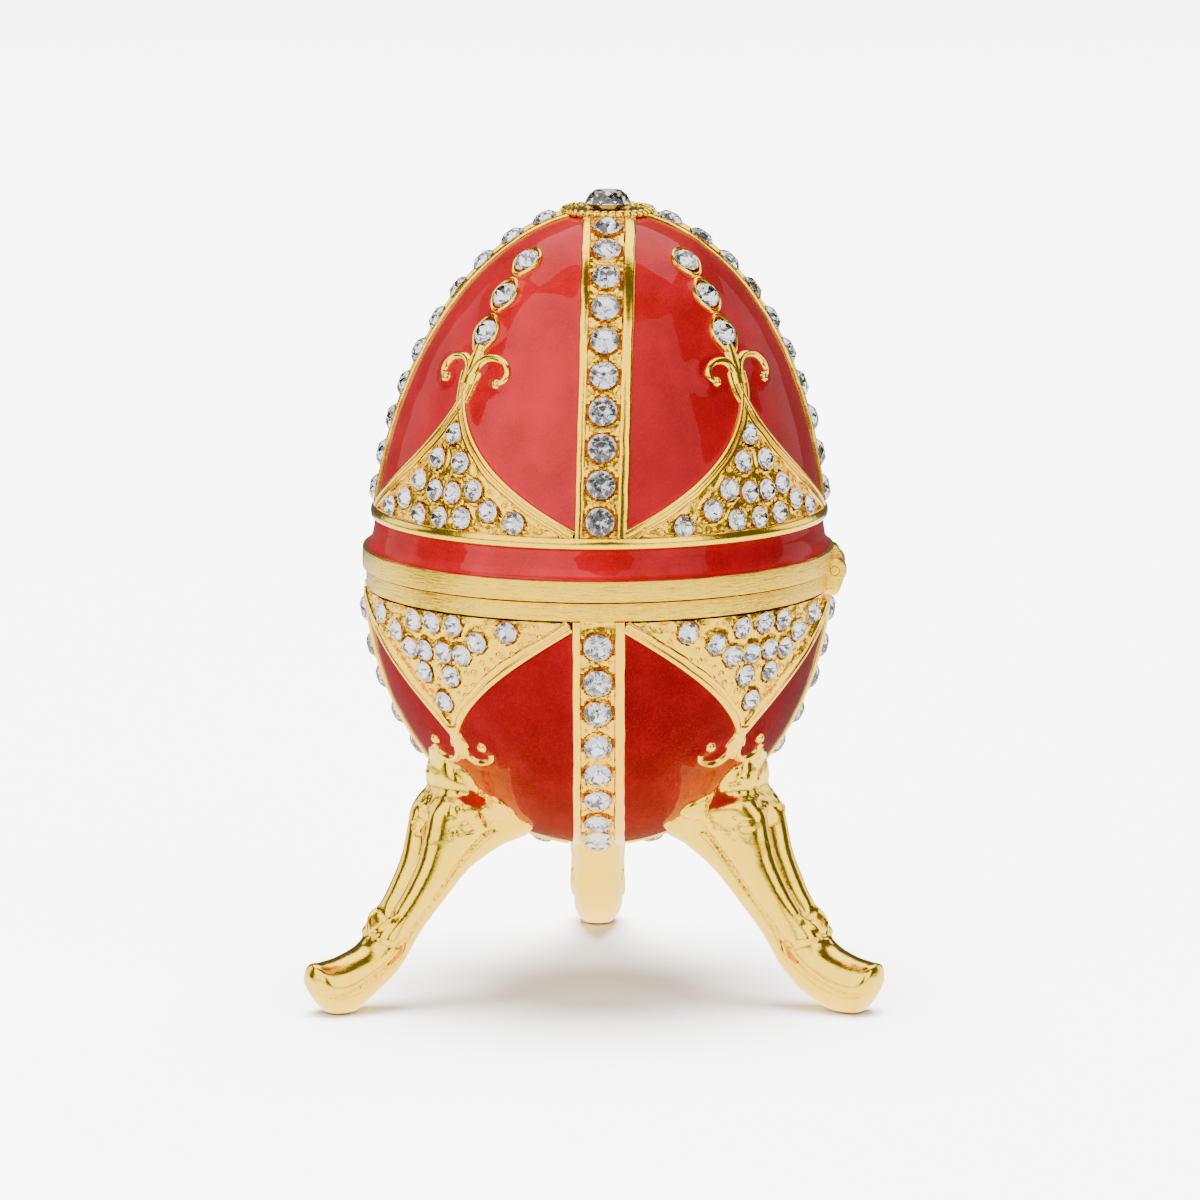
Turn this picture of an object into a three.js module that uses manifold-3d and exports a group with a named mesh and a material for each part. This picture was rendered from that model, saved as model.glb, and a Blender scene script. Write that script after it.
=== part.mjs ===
// Jewelled egg trinket box: two cast, enamelled half-shells joined by a hinge, on three cast legs.
// Millimetres, +Z up. The front looks along -Y and the hinge is at +X.
// The origin is on the table, under the middle of the whole object.
import * as THREE from "three";
import { mergeVertices } from "three/addons/utils/BufferGeometryUtils.js";
import Module from "manifold-3d";

const wasm = await Module();
wasm.setup();

// Half-shells
const bowlClearance = 12.45; // underside of the bowl above the table
const bowlDepth = 23.7;
const bowlRadius = 19.55;
const lidHeight = 30.4;
const lidSetback = 0.45; // how much smaller the lid's shell is than the bowl's, under its flange
const wall = 1.6;
const seamGap = 0.3;
const pieceGap = 0.3; // between castings that touch
const lidLean = 0.028; // the lid casting leans towards the hinge by this much for each mm of height
const facetsAround = 24;

// Rim of the bowl, and flange, belt and moulding of the lid
const rimHeight = 1.5;
const rimProud = 0.12;
const flangeHeight = 1.65;
const flangeProud = 0.9;
const beltHeight = 2.6;
const mouldingHeight = 0.95;
const mouldingProud = 0.35;
const mouldingBevel = 0.2;

// Stone-set bands, one on each side
const bandWidth = 4.05;
const railWidth = 0.65;
const railLift = 0.4;
const floorLift = 0.18;
const bandStone = 2.6;
const lidBandPitch = 3.05;
const bowlBandPitch = 3.2;
const lidBandStones = 10;
const bowlBandStones = 9;
const rimToStone = 0.8; // plain floor between the bowl's rim and the first stone
const stoneLift = 0.85;
const bottomRadius = 3.2; // round boss where the bowl's bands meet
const bottomHeight = 0.3;

// Triangles of small stones between the bands
const frameWidth = 0.85;
const frameLift = 0.3;
const paveStone = 2;
const paveRows = [1, 2, 4, 7];
const pavePitch = 2.35;
const lidPaveRise = [13, 10.85, 8.5, 6.25]; // heights of the rows above the seam
const bowlPaveDrop = [9.4, 7.1, 4.95, 2.75]; // depths of the rows below the seam
const lidNeckRise = 18;
const bowlNeckDrop = 13.6;
const lidFrameRise = 0.5; // from the moulding to where the frames meet the bands
const bowlFrameDrop = 0.8; // from the rim to where the frames meet the bands
const lidFlare = 1.9; // how hollow the sides of a triangle are
const bowlFlare = 1.35;

// Scrolls and chains at the triangles' necks
const wireWidth = 0.5;
const wireLift = 0.35;
const curlReach = 2.9;
const curlRadius = 1.4;
const curlEnd = 0.95;
const curlFrom = 150; // degrees, from the outward direction
const curlTo = -75;
const chainStone = 2.3;
const chainSetting = 3;
const chainStretch = 1.15; // how much longer than wide a setting is
const chainWireWidth = 0.8;
const chainPitch = 3.6;
const chainStart = 3.6; // from the neck to the first setting
const chainStones = 3;

// Top disc and its stone
const discRadius = 3.85;
const discHeight = 0.8;
const topStone = 3.8;
const topStoneHeight = 1.55;
const topTable = 1.9;
const topBase = 3;
const girdleRise = 0.1; // height of the stone's widest line above the disc
const seatDepth = 0.55;
const seatClearance = 0.2;

// Hinge
const barrelRadius = 1;
const pinRadius = 0.4;
const pinClearance = 0.15;
const hingeLength = 7;
const hingeOffset = 0.05; // axis of the pin beyond the flange
const hingeLeaf = 2.1; // how far the outer knuckles run down the bowl

// Legs
const legReach = 27.8; // tip of the toe from the egg's axis
const legTurns = { leg_left: -150, leg_right: -30, leg_back: 90 };
const shankWidth = 4.6;
const shankFlare = 0.45; // how much wider the shank is at the knee, as a share
const kneeWidth = 7.2;
const kneeLength = 8.4;
const kneeSlope = 49; // where the middle of the knee plate lies on the bowl
const kneeThickness = 1.3;
const kneeLobes = 5;
const lobeDepth = 0.18; // as a share of the plate's size
const kneeTop = 0.75; // size of the plate's raised face, as a share of its outline
// Edges of a leg seen from its side, from the knee to the toe: out from the knee and up from the table,
// as shares of the way from the knee to the toe and of the knee's height.
const legOuterEdge = [
  [0.13, 1.13], [0.3, 0.93], [0.42, 0.67], [0.56, 0.43], [0.75, 0.28], [0.94, 0.26], [1, 0.19],
];
const legInnerEdge = [
  [-0.26, 0.86], [-0.04, 0.64], [0.19, 0.44], [0.37, 0.22], [0.6, 0.07], [0.83, -0.03], [0.97, 0.09],
];
const legStations = [0, 0.12, 0.3, 0.48, 0.64, 0.74, 0.83, 0.93, 1];
// Right half of a leg's section, from the groove on its outer face round to the inner face.
const legSection = [[0.66, 0], [1, 0.42], [0.45, 0.95], [-0.55, 0.92], [-1, 0.4]];
const toeStart = 0.8;
const toeTaper = 0.75;

const degrees = THREE.MathUtils.degToRad;
const seamHeight = bowlClearance + bowlDepth;
const lidFoot = seamGap / 2;
const lidRadius = bowlRadius - lidSetback;
const flangeRadius = lidRadius + flangeProud;
const lidHalf = { radius: lidRadius, height: lidHeight, up: 1 };
const bowlHalf = { radius: bowlRadius, height: bowlDepth, up: -1 };

// Mesh data from a closed geometry: shared corners merged, faces turned outwards.
function solidOf(geometry) {
  geometry.deleteAttribute("normal");
  geometry.deleteAttribute("uv");
  const merged = mergeVertices(geometry);
  const positions = merged.attributes.position.array;
  const faces = [];
  const a = new THREE.Vector3();
  const b = new THREE.Vector3();
  const c = new THREE.Vector3();
  let volume = 0;
  for (let i = 0; i < merged.index.count; i += 3) {
    const [p, q, r] = merged.index.array.slice(i, i + 3);
    if (p === q || q === r || r === p) continue;
    faces.push([p, q, r]);
    a.fromArray(positions, 3 * p);
    b.fromArray(positions, 3 * q);
    c.fromArray(positions, 3 * r);
    volume += a.dot(b.cross(c));
  }
  const outward = volume > 0 ? faces : faces.map(([p, q, r]) => [p, r, q]);
  const mesh = { numProp: 3, vertProperties: positions, triVerts: new Uint32Array(outward.flat()) };
  return new wasm.Manifold(new wasm.Mesh(mesh));
}

function geometryOf(solid) {
  const mesh = solid.getMesh();
  const geometry = new THREE.BufferGeometry();
  geometry.setAttribute("position", new THREE.BufferAttribute(mesh.vertProperties, 3));
  geometry.setIndex(new THREE.BufferAttribute(mesh.triVerts, 1));
  return geometry;
}

const joined = (solids) => solids.reduce((sum, solid) => sum.add(solid));

// A closed skin over a row of rings of points, with flat ends.
function loft(rings) {
  const count = rings[0].length;
  const last = (rings.length - 1) * count;
  const index = [];
  for (let here = 0; here < last; here += count) {
    for (let j = 0; j < count; j += 1) {
      const k = (j + 1) % count;
      const next = here + count;
      index.push(here + j, here + k, next + k, here + j, next + k, next + j);
    }
  }
  for (let j = 1; j < count - 1; j += 1) {
    index.push(0, j + 1, j, last, last + j, last + j + 1);
  }
  const geometry = new THREE.BufferGeometry();
  const positions = rings.flat().flatMap((point) => point.toArray());
  geometry.setAttribute("position", new THREE.Float32BufferAttribute(positions, 3));
  geometry.setIndex(index);
  return solidOf(geometry);
}

// A solid of revolution from its half-outline, which starts and ends on the axis.
function turned(outline, segments = facetsAround) {
  const points = outline.map(([radius, height]) => new THREE.Vector2(radius, height));
  const lathe = new THREE.LatheGeometry(points, segments, Math.PI / segments);
  return solidOf(lathe.rotateX(Math.PI / 2));
}

// Point on a half-egg: slope is the ellipse's angle from the seam, and lift is along the surface's normal.
function skin(half, slope, azimuth, lift = 0) {
  const out = Math.cos(slope) / half.radius;
  const rise = Math.sin(slope) / half.height;
  const length = Math.hypot(out, rise);
  const radius = half.radius * Math.cos(slope) + (lift * out) / length;
  const height = half.height * Math.sin(slope) + (lift * rise) / length;
  const z = seamHeight + half.up * height;
  return new THREE.Vector3(radius * Math.cos(azimuth), radius * Math.sin(azimuth), z);
}

const slopeAtHeight = (half, height) => Math.asin(height / half.height);

// Slope at a distance from the seam, walked along the meridian.
function slopeAtArc(half, arc) {
  const steps = 200;
  let slope = 0;
  for (let i = 0; i < steps; i += 1) {
    const speed = Math.hypot(half.radius * Math.sin(slope), half.height * Math.cos(slope));
    slope += arc / steps / speed;
  }
  return slope;
}

function arcAtSlope(half, slope) {
  const steps = 200;
  let arc = 0;
  for (let i = 0; i < steps; i += 1) {
    const middle = (slope * (i + 0.5)) / steps;
    const speed = Math.hypot(half.radius * Math.sin(middle), half.height * Math.cos(middle));
    arc += (speed * slope) / steps;
  }
  return arc;
}

// A ridge along a path of [slope, azimuth] pairs, with its foot sunk in the shell.
function ridge(half, path, width, lift) {
  const sunk = wall / 3;
  const foot = (width / 2) * (1 + sunk / lift);
  const points = path.map(([slope, azimuth]) => skin(half, slope, azimuth));
  const rings = path.map(([slope, azimuth], i) => {
    const normal = skin(half, slope, azimuth, 1).sub(points[i]);
    const before = points[Math.max(i - 1, 0)];
    const after = points[Math.min(i + 1, points.length - 1)];
    const across = normal.clone().cross(after.clone().sub(before)).normalize();
    return [[-foot, -sunk], [foot, -sunk], [0, lift]].map(([side, height]) =>
      points[i].clone().addScaledVector(across, side).addScaledVector(normal, height),
    );
  });
  return loft(rings);
}

// A low faceted body standing on the surface: rings of [radius, lift] around one point.
function boss(half, slope, azimuth, sides, profile, stretch = 1) {
  const centre = skin(half, slope, azimuth);
  const normal = skin(half, slope, azimuth, 1).sub(centre);
  const level = new THREE.Vector3(-Math.sin(azimuth), Math.cos(azimuth), 0);
  const along = normal.clone().cross(level);
  const rings = profile.map(([radius, lift]) =>
    Array.from({ length: sides }, (_, i) => {
      const turn = (2 * Math.PI * (i + 0.5)) / sides;
      return centre
        .clone()
        .addScaledVector(level, radius * Math.cos(turn))
        .addScaledVector(along, radius * stretch * Math.sin(turn))
        .addScaledVector(normal, lift);
    }),
  );
  return loft(rings);
}

// A stone coming to a blunt point, with its foot sunk in the shell.
function stone(half, slope, azimuth, width, sides) {
  const sunk = wall / 4;
  const foot = (width / 2) * (1 + sunk / stoneLift);
  return boss(half, slope, azimuth, sides, [[foot, -sunk], [0, stoneLift]]);
}

// One band between two distances from the seam: a trough between two rails, with its row of stones.
function band(half, azimuth, startArc, endArc, stones, firstStone, pitch) {
  const steps = 4;
  const sunk = wall / 3;
  const edge = bandWidth / 2;
  const foot = edge + ((railWidth / 2) * sunk) / railLift;
  const right = [[foot, -sunk], [edge - railWidth / 2, railLift], [edge - railWidth, floorLift]];
  const left = right.map(([across, lift]) => [-across, lift]).reverse();
  const rings = Array.from({ length: steps + 1 }, (_, i) => {
    const slope = slopeAtArc(half, THREE.MathUtils.lerp(startArc, endArc, i / steps));
    const radius = half.radius * Math.cos(slope);
    const point = ([across, lift]) => skin(half, slope, azimuth + Math.asin(across / radius), lift);
    return [...right, ...left].map(point);
  });
  const row = Array.from({ length: stones }, (_, i) =>
    stone(half, slopeAtArc(half, firstStone + pitch * i), azimuth, bandStone, 5),
  );
  return [loft(rings), ...row];
}

// Half the width of a triangle, as an angle about the axis, at a height from the seam.
function triangleAngle(half, height, base, neck, flare) {
  const bandAngle = Math.asin(bandWidth / 2 / half.radius);
  const share = Math.max(0, (neck - height) / (neck - base));
  return (Math.PI / 4 - bandAngle) * share ** flare;
}

// Frame and stones of one triangle. Base and neck are heights from the seam.
function triangle(half, azimuth, base, neck, flare, rows) {
  const steps = 4;
  const sides = [-1, 1].map((side) => {
    const path = Array.from({ length: steps + 1 }, (_, i) => {
      const height = THREE.MathUtils.lerp(neck, base, i / steps);
      const slope = slopeAtHeight(half, height);
      const inset = frameWidth / 2 / (half.radius * Math.cos(slope));
      const angle = triangleAngle(half, height, base, neck, flare);
      return [slope, azimuth + side * Math.max(angle - inset, inset / 2)];
    });
    return ridge(half, path, frameWidth, frameLift);
  });
  const stones = rows.flatMap((height, row) => {
    const slope = slopeAtHeight(half, height);
    const pitch = pavePitch / (half.radius * Math.cos(slope));
    const middle = (paveRows[row] - 1) / 2;
    return Array.from({ length: paveRows[row] }, (_, i) =>
      stone(half, slope, azimuth + (i - middle) * pitch, paveStone, 4),
    );
  });
  return [...sides, ...stones];
}

// A wire scroll from the neck: out, over and back under itself.
function scroll(half, azimuth, neck, side) {
  const neckSlope = slopeAtHeight(half, neck);
  const neckArc = arcAtSlope(half, neckSlope);
  const place = (across, along) => {
    const slope = slopeAtArc(half, neckArc + along);
    return [slope, azimuth + (side * across) / (half.radius * Math.cos(slope))];
  };
  const steps = 3;
  const curl = Array.from({ length: steps + 1 }, (_, i) => {
    const turn = THREE.MathUtils.lerp(degrees(curlFrom), degrees(curlTo), i / steps);
    const radius = THREE.MathUtils.lerp(curlRadius, curlEnd, i / steps);
    return place(curlReach + radius * Math.cos(turn), radius * Math.sin(turn));
  });
  return ridge(half, [place(0, -frameWidth), ...curl], wireWidth, wireLift);
}

// Settings with a stone each, strung from the neck towards the top.
function chain(half, azimuth, neck) {
  const neckArc = arcAtSlope(half, slopeAtHeight(half, neck));
  const slopes = Array.from({ length: chainStones }, (_, i) =>
    slopeAtArc(half, neckArc + chainStart + chainPitch * i),
  );
  const profile = [
    [chainSetting / 2, -wall / 4],
    [chainStone / 2, wireLift],
    [0, stoneLift],
  ];
  const settings = slopes.map((slope) => boss(half, slope, azimuth, 5, profile, chainStretch));
  const path = [neck / half.height, ...slopes.map(Math.sin)].map((share) => [Math.asin(share), azimuth]);
  return [...settings, ridge(half, path, chainWireWidth, wireLift)];
}

// Outline of a half-egg's surface from one slope to another, with the wall's thickness taken off.
function ellipse(half, inset, fromSlope, toSlope, steps) {
  return Array.from({ length: steps + 1 }, (_, i) => {
    const slope = THREE.MathUtils.lerp(fromSlope, toSlope, i / steps);
    const height = (half.height - inset) * Math.sin(slope);
    return [(half.radius - inset) * Math.cos(slope), seamHeight + half.up * height];
  });
}

const onAxis = ([, height]) => [0, height];

function lidShell() {
  const foot = seamHeight + lidFoot;
  const flangeTop = foot + flangeHeight;
  const beltTop = flangeTop + beltHeight;
  const mouldingTop = beltTop + mouldingHeight;
  const slopeOf = (z) => slopeAtHeight(lidHalf, z - seamHeight);
  const radiusAt = (z) => lidRadius * Math.cos(slopeOf(z));
  const mouldingRadius = radiusAt(beltTop) + mouldingProud;
  const discSlope = Math.acos(discRadius / lidRadius);
  const discTop = seamHeight + lidHeight * Math.sin(discSlope) + discHeight;
  const seatRadius = topStone / 2 + seatClearance;
  const inside = ellipse(lidHalf, wall, Math.PI / 2, Math.asin(lidFoot / (lidHeight - wall)), 4);
  const dome = ellipse(lidHalf, 0, slopeOf(mouldingTop), discSlope, 6);
  return turned([
    onAxis(inside[0]),
    ...inside.slice(1),
    [flangeRadius, foot],
    [flangeRadius, flangeTop],
    [radiusAt(flangeTop), flangeTop],
    [radiusAt(beltTop), beltTop],
    [mouldingRadius, beltTop + mouldingBevel],
    [mouldingRadius, mouldingTop - mouldingBevel],
    ...dome,
    [discRadius, discTop],
    [seatRadius, discTop],
    [seatRadius, discTop - seatDepth],
    [0, discTop - seatDepth],
  ]);
}

function bowlShell() {
  const top = seamHeight - seamGap / 2;
  const rimFoot = top - rimHeight;
  const bottomSlope = Math.acos(bottomRadius / bowlRadius);
  const outside = ellipse(bowlHalf, 0, slopeAtHeight(bowlHalf, seamHeight - rimFoot), bottomSlope, 8);
  const bottom = seamHeight - bowlDepth * Math.sin(bottomSlope) - bottomHeight;
  const inside = ellipse(bowlHalf, wall, Math.PI / 2, Math.asin(seamGap / 2 / (bowlDepth - wall)), 4);
  return turned([
    onAxis(inside[0]),
    ...inside.slice(1),
    [bowlRadius + rimProud, top],
    [bowlRadius + rimProud, rimFoot],
    ...outside,
    [bottomRadius, bottom],
    [0, bottom],
  ]);
}

// Hinge: a barrel with its axis just outside the flange, cut in three knuckles.
const hingeX = flangeRadius + hingeOffset;
const knuckle = (hingeLength - 2 * pieceGap) / 3;
const cylinderAt = (radius, y, length, sides = 8) => {
  const cylinder = new THREE.CylinderGeometry(radius, radius, length, sides);
  return solidOf(cylinder.translate(hingeX, y, 0).translate(0, 0, seamHeight));
};
const hingeSides = [-1, 1].map((side) => side * (knuckle + pieceGap));

// A knuckle with a tapered leaf that joins it to the shell, above or below the axis.
function knuckleWithLeaf(y, up, leaf) {
  const corners = [[-wall, 0], [barrelRadius, 0], [barrelRadius / 3, leaf], [-wall, leaf]];
  const rings = [-0.5, 0.5].map((end) =>
    corners.map(([x, z]) => new THREE.Vector3(hingeX + x, y + end * knuckle, seamHeight + up * z)),
  );
  return cylinderAt(barrelRadius, y, knuckle).add(loft(rings));
}

const bore = cylinderAt(pinRadius + pinClearance, 0, hingeLength * 2);
const cutAt = (y) => cylinderAt(barrelRadius + pieceGap, y, knuckle + 2 * pieceGap);

const quarters = [0, 1, 2, 3].map((i) => (i * Math.PI) / 2);
const kneeMiddle = degrees(kneeSlope);

function bowlSolid() {
  const base = seamGap / 2 + rimHeight;
  const start = arcAtSlope(bowlHalf, slopeAtHeight(bowlHalf, base));
  const bottomEnd = arcAtSlope(bowlHalf, Math.acos(bottomRadius / bowlRadius));
  const kneeEdge = (kneeLength / 2) * (1 + lobeDepth);
  const kneeEnd = arcAtSlope(bowlHalf, kneeMiddle) - kneeEdge - pieceGap;
  const firstStone = start + rimToStone + bandStone / 2;
  const bands = quarters.flatMap((azimuth) => {
    const end = azimuth === degrees(legTurns.leg_back) ? kneeEnd : bottomEnd;
    const room = Math.floor((end - bandStone / 2 - firstStone) / bowlBandPitch) + 1;
    const stones = Math.min(bowlBandStones, room);
    return band(bowlHalf, azimuth, start - rimHeight / 2, end, stones, firstStone, bowlBandPitch);
  });
  const ornament = quarters.flatMap((quarter) => {
    const azimuth = quarter + Math.PI / 4;
    return [
      ...triangle(bowlHalf, azimuth, base + bowlFrameDrop, bowlNeckDrop, bowlFlare, bowlPaveDrop),
      scroll(bowlHalf, azimuth, bowlNeckDrop, -1),
      scroll(bowlHalf, azimuth, bowlNeckDrop, 1),
    ];
  });
  const knuckles = hingeSides.map((y) => knuckleWithLeaf(y, -1, hingeLeaf));
  return joined([bowlShell().subtract(cutAt(0)), ...knuckles, ...bands, ...ornament]).subtract(bore);
}

function lidSolid() {
  const base = lidFoot + flangeHeight + beltHeight + mouldingHeight;
  const start = arcAtSlope(lidHalf, slopeAtHeight(lidHalf, base));
  const end = arcAtSlope(lidHalf, Math.acos(discRadius / lidRadius));
  const firstStone = start + bandStone / 2;
  const bands = quarters.flatMap((azimuth) =>
    band(lidHalf, azimuth, start - mouldingHeight / 2, end, lidBandStones, firstStone, lidBandPitch),
  );
  const ornament = quarters.flatMap((quarter) => {
    const azimuth = quarter + Math.PI / 4;
    return [
      ...triangle(lidHalf, azimuth, base + lidFrameRise, lidNeckRise, lidFlare, lidPaveRise),
      scroll(lidHalf, azimuth, lidNeckRise, -1),
      scroll(lidHalf, azimuth, lidNeckRise, 1),
      ...chain(lidHalf, azimuth, lidNeckRise),
    ];
  });
  const middle = knuckleWithLeaf(0, 1, lidFoot + flangeHeight);
  const notched = hingeSides.reduce((shell, y) => shell.subtract(cutAt(y)), lidShell());
  return joined([notched, middle, ...bands, ...ornament]).subtract(bore);
}

// Lobed plate of a leg's knee, lying on the bowl at azimuth 0.
function kneePlate() {
  const middleArc = arcAtSlope(bowlHalf, kneeMiddle);
  const points = 2 * kneeLobes;
  const ring = (share, lift) =>
    Array.from({ length: points }, (_, i) => {
      const turn = (2 * Math.PI * i) / points;
      const size = share * (1 + lobeDepth * Math.cos(kneeLobes * turn));
      const slope = slopeAtArc(bowlHalf, middleArc - (kneeLength / 2) * size * Math.cos(turn));
      const across = (kneeWidth / 2) * size * Math.sin(turn);
      return skin(bowlHalf, slope, across / (bowlRadius * Math.cos(slope)), lift);
    });
  return loft([ring(1, -wall / 2), ring(1, kneeThickness / 2), ring(kneeTop, kneeThickness)]);
}

// Shank and foot of a leg, lofted between its two edges with a groove down its outer face.
function shank() {
  const knee = skin(bowlHalf, kneeMiddle, 0);
  const place = ([out, up]) => new THREE.Vector2(THREE.MathUtils.lerp(knee.x, legReach, out), knee.z * up);
  const outer = new THREE.SplineCurve(legOuterEdge.map(place));
  const inner = new THREE.SplineCurve(legInnerEdge.map(place));
  const mirrored = legSection.slice(1).reverse().map(([out, across]) => [out, -across]);
  const rings = legStations.map((along) => {
    const edge = outer.getPoint(along);
    const middle = edge.clone().lerp(inner.getPoint(along), 0.5);
    const half = edge.sub(middle);
    const flare = 1 + shankFlare * Math.max(0, 1 - 2 * along) ** 2;
    const toe = Math.sqrt(1 - Math.max(0, (along - toeStart) / (1 - toeStart)) ** 2 * toeTaper);
    return [...legSection, ...mirrored].map(([out, across]) => {
      const side = ((across * shankWidth) / 2) * flare * toe;
      return new THREE.Vector3(middle.x + half.x * out, side, middle.y + half.y * out);
    });
  });
  return loft(rings);
}

// A leg in its place: cut clear of the bowl, and flat where it stands on the table.
function legSolid(turn) {
  const whole = kneePlate().add(shank());
  const placed = solidOf(geometryOf(whole).rotateZ(degrees(turn)));
  const grown = { ...bowlHalf, radius: bowlRadius + pieceGap, height: bowlDepth + pieceGap };
  const rings = 8;
  const skirt = ellipse(grown, 0, 0, Math.PI / 2, rings).slice(0, rings);
  const clearance = turned([[0, seamHeight], ...skirt, [0, bowlClearance - pieceGap]]);
  const size = 4 * legReach;
  const space = solidOf(new THREE.BoxGeometry(size, size, size).translate(0, 0, size / 2));
  return placed.subtract(clearance).intersect(space);
}

function topStoneSolid() {
  const discTop = seamHeight + lidHeight * Math.sqrt(1 - (discRadius / lidRadius) ** 2) + discHeight;
  const base = discTop - seatDepth + pieceGap;
  const girdle = discTop + girdleRise;
  const outline = [
    [0, base],
    [topBase / 2, base],
    [topStone / 2, girdle],
    [topTable / 2, base + topStoneHeight],
    [0, base + topStoneHeight],
  ];
  return turned(outline, 8);
}

const root = new THREE.Group();
const gold = { color: 0xd9b760, roughness: 0.25, metalness: 1 };
const enamel = { color: 0xb00a10, roughness: 0.12, metalness: 0.2 };
const glass = { color: 0xe8ecf0, roughness: 0.05, metalness: 0.3 };

function piece(name, geometry, look) {
  const mesh = new THREE.Mesh(geometry, new THREE.MeshStandardMaterial(look));
  mesh.name = name;
  root.add(mesh);
  return mesh;
}

const lean = new THREE.Matrix4().makeShear(0, 0, 0, 0, lidLean, 0).setPosition(-lidLean * seamHeight, 0, 0);
piece("bowl", geometryOf(bowlSolid()), enamel);
piece("lid", geometryOf(lidSolid()).applyMatrix4(lean), enamel);
piece("top_stone", geometryOf(topStoneSolid()).applyMatrix4(lean), glass);
piece("hinge_pin", geometryOf(cylinderAt(pinRadius, 0, hingeLength)), gold);
for (const [name, turn] of Object.entries(legTurns)) piece(name, geometryOf(legSolid(turn)), gold);

const middle = new THREE.Box3().setFromObject(root).getCenter(new THREE.Vector3());
root.position.set(-middle.x, -middle.y, 0);

export default root;
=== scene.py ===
import math

import bpy
import numpy as np
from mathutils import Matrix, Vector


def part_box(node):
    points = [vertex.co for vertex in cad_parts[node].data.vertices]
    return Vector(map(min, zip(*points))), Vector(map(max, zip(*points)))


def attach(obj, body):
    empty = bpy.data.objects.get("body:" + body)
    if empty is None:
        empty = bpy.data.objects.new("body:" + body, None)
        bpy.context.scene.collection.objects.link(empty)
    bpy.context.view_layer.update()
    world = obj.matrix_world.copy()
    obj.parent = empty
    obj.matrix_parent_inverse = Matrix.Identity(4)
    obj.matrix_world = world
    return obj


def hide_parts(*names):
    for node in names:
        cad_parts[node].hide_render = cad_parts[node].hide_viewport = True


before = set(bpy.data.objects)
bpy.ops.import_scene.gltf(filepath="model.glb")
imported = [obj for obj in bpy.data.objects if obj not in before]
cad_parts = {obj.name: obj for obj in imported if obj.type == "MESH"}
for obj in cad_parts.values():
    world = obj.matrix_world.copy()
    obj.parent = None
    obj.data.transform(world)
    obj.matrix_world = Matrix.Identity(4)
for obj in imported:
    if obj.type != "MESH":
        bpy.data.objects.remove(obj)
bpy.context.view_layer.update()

# Camera and studio: a long lens a little above the egg, looking down at it. The table is a plain pale sheet.
# Soft boxes stand on both sides and behind. Metal, enamel and table each see them at a strength of their
# own, and the metal and the stones also see a sheet of light on the table.
pin_low, pin_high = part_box("hinge_pin")
AXIS = np.array([0.0, (pin_low.y + pin_high.y) / 2, 0.0])

camera = bpy.data.objects.new("camera", bpy.data.cameras.new("camera"))
camera.data.sensor_width = 36
camera.data.lens = 258.3
camera.location = (0.00019, AXIS[1] - 0.7215, 0.156)
camera.rotation_euler = (math.radians(90 - 9.67), 0, 0)
bpy.context.scene.collection.objects.link(camera)
bpy.context.scene.camera = camera

receivers = ("metal", "enamel", "table", "top")
shown_to = {kind: bpy.data.collections.new("seen_by_" + kind) for kind in receivers}


def soft_box(name, place, aim, size, powers):
    """Rectangular area lamps at one place, one for each receiver, with the lit side turned to the aim."""
    away = np.array(place) - np.array(aim)
    for kind, power in powers.items():
        lamp = bpy.data.lights.new(name, "AREA")
        lamp.shape = "RECTANGLE"
        lamp.size, lamp.size_y = size
        lamp.energy = power
        holder = bpy.data.objects.new(f"{name}_for_{kind}", lamp)
        holder.location = place
        tilt = math.acos(away[2] / np.linalg.norm(away))
        holder.rotation_euler = (tilt, 0, math.atan2(away[0], -away[1]))
        holder.visible_camera = False
        holder.light_linking.receiver_collection = shown_to[kind]
        bpy.context.scene.collection.objects.link(holder)


egg_middle = (0, AXIS[1], 0.035)
left_power = {"metal": 11, "enamel": 8.6, "table": 1.6, "top": 12}
right_power = {"metal": 5.5, "enamel": 1.6, "table": 0.6, "top": 6}
rear_power = {"metal": 8, "enamel": 4, "table": 0.8, "top": 3}
soft_box("left_box", (-0.457, -0.530, 0.52), egg_middle, (1.05, 1.10), left_power)
soft_box("right_box", (0.433, -0.600, 0.46), egg_middle, (0.62, 0.90), right_power)
soft_box("rear_box", (0, 0.35, 0.80), egg_middle, (1.1, 0.6), rear_power)
card_power = {"metal": 2.0, "enamel": 0.5}
for side in (-1, 1):
    soft_box("side_card", (0.75 * side, 0.45, 0.24), egg_middle, (0.5, 0.55), card_power)
soft_box("table_glow", (0, 0, 0.0002), (0, 0, 1), (0.34, 0.34), {"metal": 1.0})
soft_box("table_lamp", (0, 0.3, 2.0), (0, 0.3, 0), (1.6, 1.6), {"top": 420})

room = bpy.data.worlds.new("room")
room.use_nodes = True
room.node_tree.nodes["Background"].inputs["Color"].default_value = (1, 1, 1, 1)
room.node_tree.nodes["Background"].inputs["Strength"].default_value = 0.13
bpy.context.scene.world = room


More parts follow.
